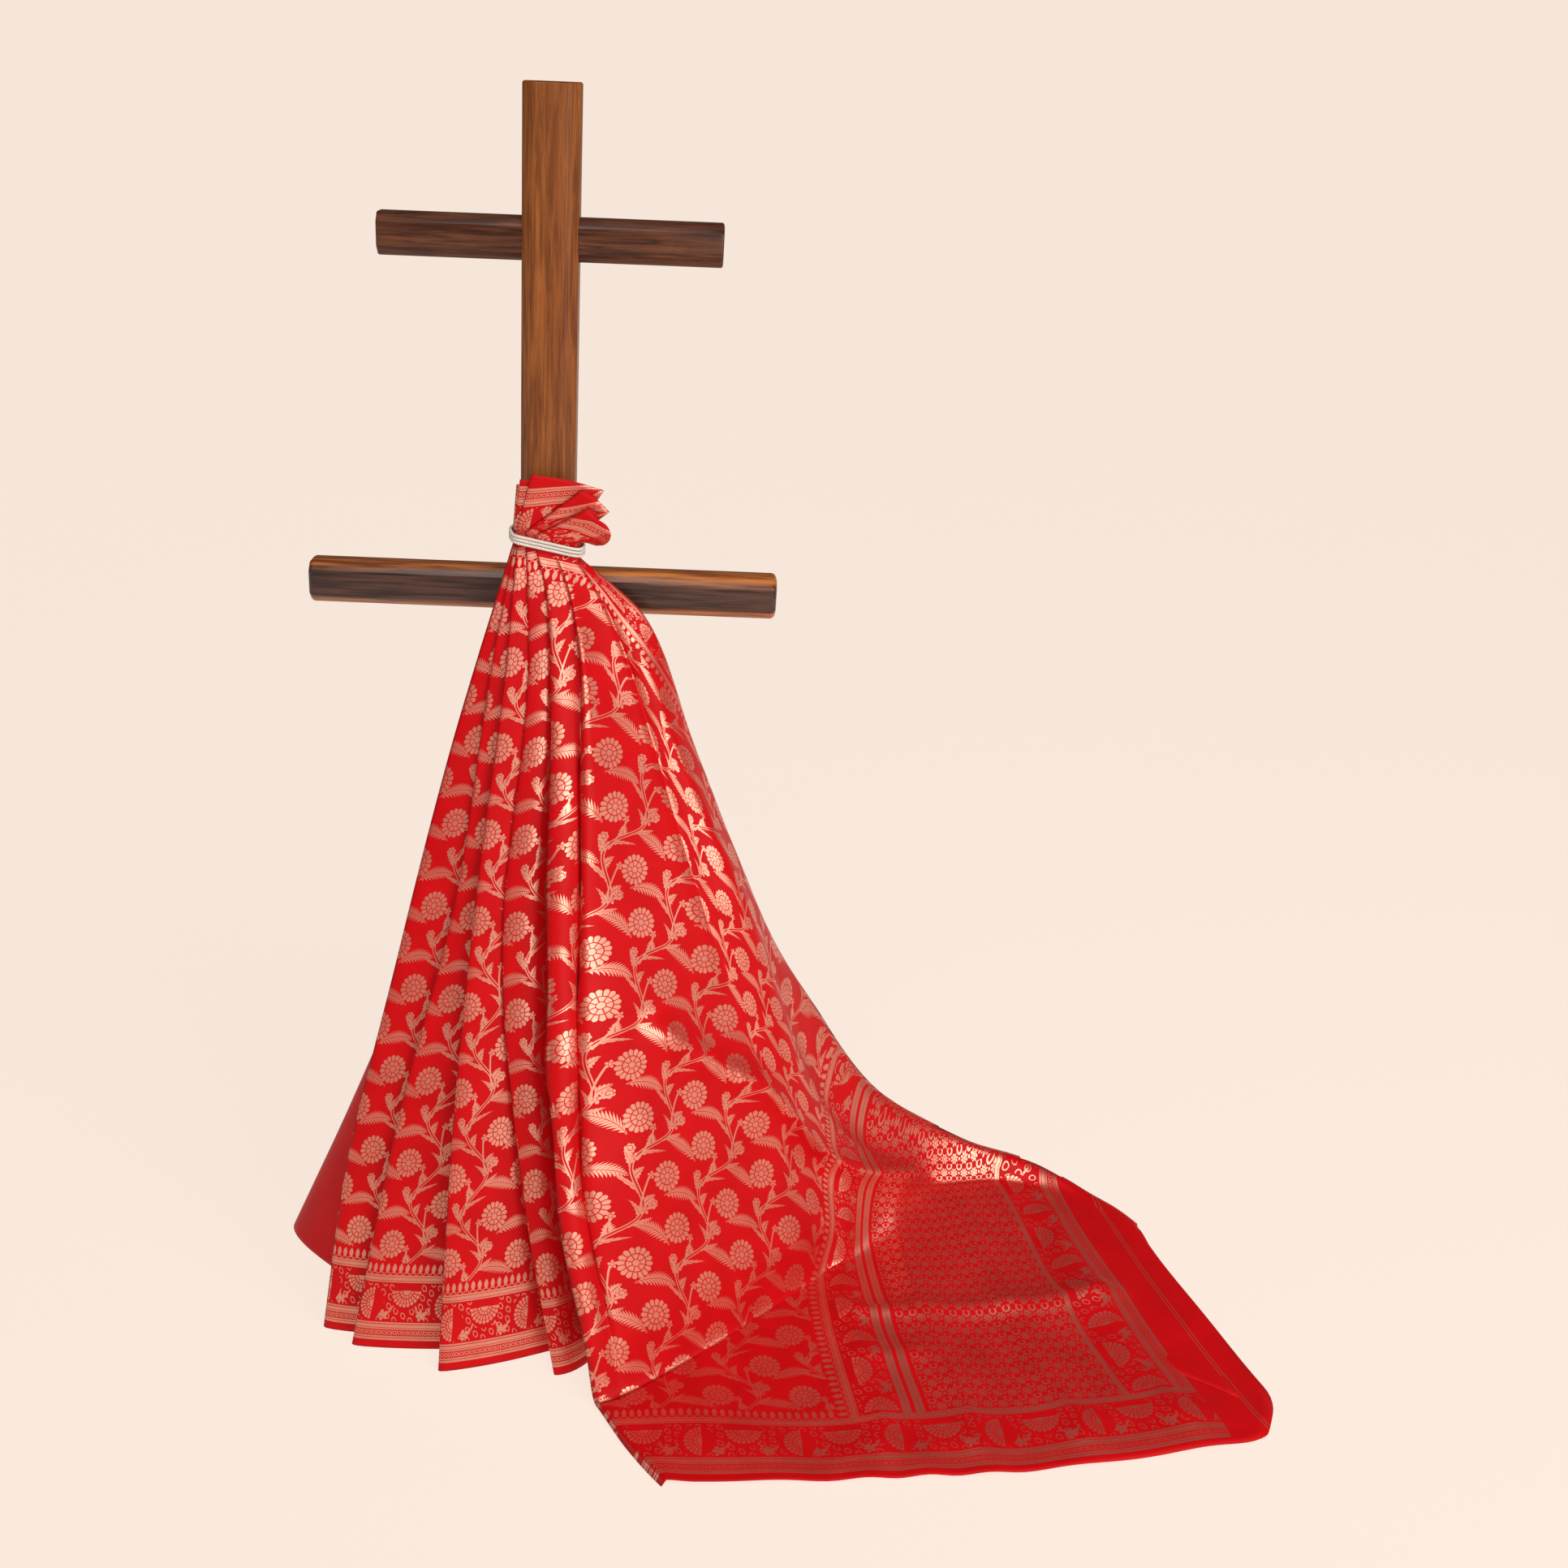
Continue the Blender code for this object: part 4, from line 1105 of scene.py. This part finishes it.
def net_vines(x, y):
    """The waving vine: a pair of fine lines, with toothed and veined leaves on either side by turns."""
    phase = (y - 4) * (2 * math.pi / NET)
    off = wrapped(x - VINE_MIDDLE + phase.math("COSINE") * VINE_SWING, NET)
    off = off * (1 - phase.math("SINE").math("POWER", 2) * 0.31)
    side = abs(off)
    turn = off.math("GREATER_THAN", 0.0) * (LEAF_APART / 2)
    spine = wrapped(y + turn - side * LEAF_LEAN, LEAF_APART)
    wide = (1 - (side / LEAF_LONG).math("POWER", 2)) * LEAF_WIDE
    teeth = (side / 3.4).math("FRACT")
    blades = inside(wide * (teeth * 0.55 + 0.62) - abs(spine))
    leaves = both(blades, inside(side - 2.4), 1 - stroke(spine, 0.8))
    return either(leaves, stroke(side - 1.7, 1.3))


def floral_net(along_cloth, down_cloth):
    x = along_cloth - NET_FROM[0]
    y = NET_FROM[1] - down_cloth
    return either(
        net_vines(x, y),
        net_flower(x, y),
        net_flower(2 * VINE_MIDDLE - x, y - NET / 2),
    )


# The border: how far in from the edge each band and row has its middle, and how far apart its
# motifs are, in millimetres. Bands of plain zari lie between rows of scrolls, fans and buds.
EDGE_BAND = 14
SCROLL_ROW = 21.5
SCROLLS_APART = 8.5
WIDE_BAND = 31
MOTIF_ROW = 64
FANS_APART = 124
WAVES_APART = 62
RINGS_APART = 13
INNER_BAND = 97
FEET_ROW = 102
BUD_ROW = 111.5
BUDS_APART = 10.6


def banded(t, middle, wide, *grooves):
    """A band of plain zari, with grooves in it as (place, width)."""
    whole = stroke(t - middle, wide)
    return both(whole, 1 - either(*[stroke(t - place, width) for place, width in grooves]))


def fan(x, y, size):
    """A half-round flower whose straight side is at y = 0 and whose ribbed petals point down."""
    r, angle = polar(x, y)
    rim = petals(angle, 22)
    ribs = both(inside(0.62 - rim * r / 13), inside(r - size * 0.52))
    lines = either(
        ribs, stroke(r - size * 0.80, 0.9), stroke(r - size * 0.50, 1.4), stroke(r - size * 0.30, 1.2),
        both(inside(0.5 - petals(angle, 12) * r / 6), inside(size * 0.48 - r), inside(r - size * 0.32)),
    )
    return both(inside(rim * 2.2 + size - 1.5 - r), inside(0 - y), 1 - lines)


def border(t, s):
    """Zari at t in from the edge and s along it."""
    edge_band = banded(t, EDGE_BAND, 6, (14.4, 0.9))
    curl_r, _ = polar(wrapped(s, SCROLLS_APART), t - SCROLL_ROW)
    curls = either(stroke(curl_r - 2.3, 1.2), stroke(wrapped(s - SCROLLS_APART / 2, SCROLLS_APART), 1.1))
    scrolls = both(curls, inside(4 - abs(t - SCROLL_ROW)))
    wide_band = banded(t, WIDE_BAND, 10, (28.2, 0.8), (33.4, 1.1))

    upright = fan(wrapped(s, FANS_APART), t - 81, 23)
    lying = fan(t - 62, wrapped(s - 72, FANS_APART), 22)
    wave_phase = s * (2 * math.pi / WAVES_APART)
    wave = t - wave_phase.math("COSINE").math("MULTIPLY_ADD", 17, 63)
    teeth = ((s + abs(wave)) / 5.2).math("FRACT")
    scroll = both(inside(teeth * 2.4 + 1.3 - abs(wave)), 1 - stroke(wave, 0.8))
    tulip = bloom(wrapped(s - 30, WAVES_APART), t - 46, 5, 5, 3, 3.2, 0.9)
    r, _ = polar(wrapped(s, RINGS_APART), wrapped(t + s * 0.5, RINGS_APART))
    rings = both(stroke(r - 3.6, 1.2), inside(26 - abs(t - MOTIF_ROW)))
    near_upright, _ = polar(wrapped(s, FANS_APART), t - 76)
    near_lying, _ = polar(wrapped(s - 66, FANS_APART), t - 62)
    clear = both(inside(near_upright - 24), inside(near_lying - 24))
    motifs = either(upright, lying, clear * either(scroll, tulip, rings))
    motifs = both(motifs, inside(27.4 - abs(t - MOTIF_ROW)))

    inner_band = banded(t, INNER_BAND, 10, (94.2, 0.8), (99.6, 0.8))
    bud_x = wrapped(s, BUDS_APART)
    r, _ = polar(bud_x, t - FEET_ROW)
    feet = both(stroke(r - 4.2, 1.1), inside(t - FEET_ROW), inside((FEET_ROW + 5) - t))
    bud_y = t - BUD_ROW
    bud = inside(3.9 - (abs(bud_x) * 1.2 + (bud_y.math("POWER", 2) * 0.085)))
    return either(edge_band, scrolls, wide_band, motifs, inner_band, feet, bud)


# The end's own field, in millimetres: rows of eight-petalled flowers with a horseshoe between each
# four of them, and a dot between each two.
FIELD_PITCH = 20


def end_field(x, y):
    flower = bloom(wrapped(x, FIELD_PITCH), wrapped(y, FIELD_PITCH), 8, 4.2, 3.0, 2.5, 0.9)
    shoe_y = wrapped(y - FIELD_PITCH / 2, FIELD_PITCH)
    r, _ = polar(wrapped(x - FIELD_PITCH / 2, FIELD_PITCH), shoe_y)
    shoe = both(stroke(r - 4.4, 2.6), inside(shoe_y + 3.2))
    dot_x = wrapped(x - FIELD_PITCH / 2, FIELD_PITCH)
    r, _ = polar(dot_x, wrapped(y, FIELD_PITCH))
    return either(flower, shoe, inside(1.9 - r))


# Where each of them is woven, in millimetres along the cloth or in from its edges. Stripes are as
# (place, width).
STRIPES = (952, 6), (969, 6), (958, 5), (975, 5)
FIELD_FROM = 984
END_LINES = 1376, 1381
END_LINE_WIDE = 1.6
BODY_BORDER = 119
PALLU_BORDER = 102
FIRST_BORDER_WIDE = 83
LAST_BORDER_WIDE = 89
EDGE_PLAIN = 11
FLAP_TO = -640


def zari_pattern(x, y):
    """Where the zari shows, for a place x along the cloth and y down from its top edge, in millimetres."""
    edge = y.math("MINIMUM", MM * CUT_WIDTH - y)
    pallu = x.math("GREATER_THAN", PALLU_FROM)
    deep = edge.math("GREATER_THAN", PALLU_BORDER)
    field = edge.math("GREATER_THAN", BODY_BORDER)
    first = both(pallu, deep, x.math("LESS_THAN", PALLU_FROM + FIRST_BORDER_WIDE))
    last = both(deep, x.math("GREATER_THAN", OUTER_LINE - LAST_BORDER_WIDE))
    across_end = first + last
    along_edge = edge * (1 - across_end)
    t = along_edge + first * (BODY_BORDER + PALLU_FROM - x) + last * (EDGE_PLAIN + OUTER_LINE - x)
    s = x * (1 - across_end) + y * across_end
    net_shown = both(field, 1 - pallu)
    end_from = x.math("GREATER_THAN", FIELD_FROM)
    end_shown = both(deep, end_from, x.math("LESS_THAN", OUTER_LINE - LAST_BORDER_WIDE))
    border_shown = both(1 - net_shown, 1 - both(deep, pallu, 1 - across_end))
    stripes = [both(stroke(x - place, wide), deep) for place, wide in STRIPES]
    woven = either(
        both(floral_net(x, y), net_shown),
        both(end_field(x, y), end_shown),
        both(border(t, s), border_shown),
        *stripes,
    )
    plain_end = either(*[stroke(x - line, END_LINE_WIDE) for line in END_LINES])
    patterned = both(x.math("LESS_THAN", OUTER_LINE), x.math("GREATER_THAN", FLAP_TO))
    return either(both(woven, patterned), plain_end)


RED = (0.42, 0.0015, 0.003, 1.0), (0.66, 0.003, 0.006, 1.0)
COPPER = (0.79, 0.41, 0.28, 1.0), (0.96, 0.67, 0.51, 1.0)
SHEEN_TINT = (1.0, 0.35, 0.35, 1.0)


def silk_material():
    """Red silk satin and copper zari, told apart by the woven pattern and both broken up by their threads."""
    made, start = new_material("silk_and_zari")
    cloth = start.make("ShaderNodeUVMap", {"uv_map": "cloth"})
    flat = start.make("ShaderNodeVectorMath", {"operation": "SCALE"}, {0: cloth, 3: float(MM)})
    x = start.make("ShaderNodeSeparateXYZ", None, {0: flat})
    zari = zari_pattern(x, x.output(1))
    threads = start.make("ShaderNodeMapping", None, {"Vector": flat, "Scale": (0.45, 2.2, 1.0)})
    ribs = noise(threads, 1.0, 2.0)
    slub = noise(flat, 0.02, 3.0)
    wear = (ribs * 0.65 + slub * 0.35).ramp(2.4, -0.7)
    red = mix_colours(start, wear, *RED)
    metal = mix_colours(start, wear, *COPPER)
    bump = bumped(ribs, 0.35, 0.0003)
    silk = principled(start, {
        "Base Color": red, "Roughness": 0.46, "Specular IOR Level": 0.10, "Sheen Weight": 0.03,
        "Sheen Tint": SHEEN_TINT, "Normal": bump,
    })
    foil = principled(start, {"Base Color": metal, "Metallic": 1.0, "Roughness": 0.40, "Normal": bump})
    cover = zari * (wear * 0.16 + 0.48)
    return finished(made, start.make("ShaderNodeMixShader", None, {0: cover, 1: silk, 2: foil}))


sari.data.materials.append(silk_material())
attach(sari, "root")
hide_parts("sari")
HEM_NEAR = 0.005
hem = grid[:, -1]
corner = np.flatnonzero(hem[:, 4] > CUT_WIDTH - HEM_NEAR).max()
flat_length = float(lengths_of(hem[:corner + 1, :3])[-1] + hem[:, 3].max() - hem[corner, 3])


# Floor: a plain pale studio floor with a slight grain. Most of its light is its own glow, in the
# room's colour, so that the two run into each other without a line.
FLOOR_REACH = 60.0
FLOOR_SIDES = 96
FLOOR_PALE = (0.130, 0.112, 0.099, 1.0)
FLOOR_WORN = (0.126, 0.108, 0.096, 1.0)
FLOOR_GLOW = (0.855, 0.735, 0.645, 1.0)


def floor_material():
    made, start = new_material("studio_floor")
    place = start.make("ShaderNodeTexCoord", output=3)
    tooth = noise(place, 220.0, 3.0)
    drift = noise(place, 1.3, 1.0)
    tone = (tooth * 0.2 + drift * 0.8).ramp(1.4, -0.2)
    values = {
        "Base Color": mix_colours(start, tone, FLOOR_WORN, FLOOR_PALE),
        "Roughness": 0.9, "Specular IOR Level": 0.0,
        "Emission Color": FLOOR_GLOW, "Emission Strength": 1.0,
    }
    return finished(made, principled(start, values))


cage = bmesh.new()
bmesh.ops.create_circle(cage, cap_ends=True, radius=FLOOR_REACH, segments=FLOOR_SIDES)
floor_mesh = bpy.data.meshes.new("floor")
cage.to_mesh(floor_mesh)
cage.free()
floor = bpy.data.objects.new("floor", floor_mesh)
scene.collection.objects.link(floor)
floor_mesh.materials.append(floor_material())


# Lights: a large soft box to the right of the camera, whose glow the zari throws back where a fold
# faces it, an even light from overhead, and a dim room that the camera sees as a pale backdrop.
FRONT_BOX = {"place": (2.4, -2.6, 1.9), "aim": (0.15, -0.1, 0.55), "size": (2.6, 1.8), "watts": 88}
OVERHEAD = {"place": (0.1, -2.0, 3.0), "aim": (0.3, -0.2, 0.0), "spread": math.radians(40), "strength": 1.6}
WARM_WHITE = (1.0, 0.965, 0.93)
ROOM_GLOW = (0.095, 0.087, 0.081, 1.0)
ROOM_SEEN = (0.920, 0.790, 0.692, 1.0)


def hang_light(lamp, at):
    lamp.color = WARM_WHITE
    holder = bpy.data.objects.new(lamp.name, lamp)
    scene.collection.objects.link(holder)
    facing = (Vector(at["aim"]) - Vector(at["place"])).to_track_quat("-Z", "Y")
    holder.matrix_world = Matrix.Translation(at["place"]) @ facing.to_matrix().to_4x4()


front = bpy.data.lights.new("front_box", "AREA")
front.shape = "RECTANGLE"
front.size, front.size_y = FRONT_BOX["size"]
front.energy = FRONT_BOX["watts"]
hang_light(front, FRONT_BOX)
overhead = bpy.data.lights.new("overhead", "SUN")
overhead.angle = OVERHEAD["spread"]
overhead.energy = OVERHEAD["strength"]
hang_light(overhead, OVERHEAD)

room = bpy.data.worlds.new("room")
room.use_nodes = True
room.node_tree.nodes.clear()
start = Term(room.node_tree, None)
glow = start.make("ShaderNodeBackground", None, {"Color": ROOM_GLOW})
seen = start.make("ShaderNodeBackground", None, {"Color": ROOM_SEEN})
ray = start.make("ShaderNodeLightPath")
air = start.make("ShaderNodeMixShader", None, {0: ray, 1: glow, 2: seen})
room_output = room.node_tree.nodes.new("ShaderNodeOutputWorld")
room.node_tree.links.new(air.socket, room_output.inputs["Surface"])
scene.world = room
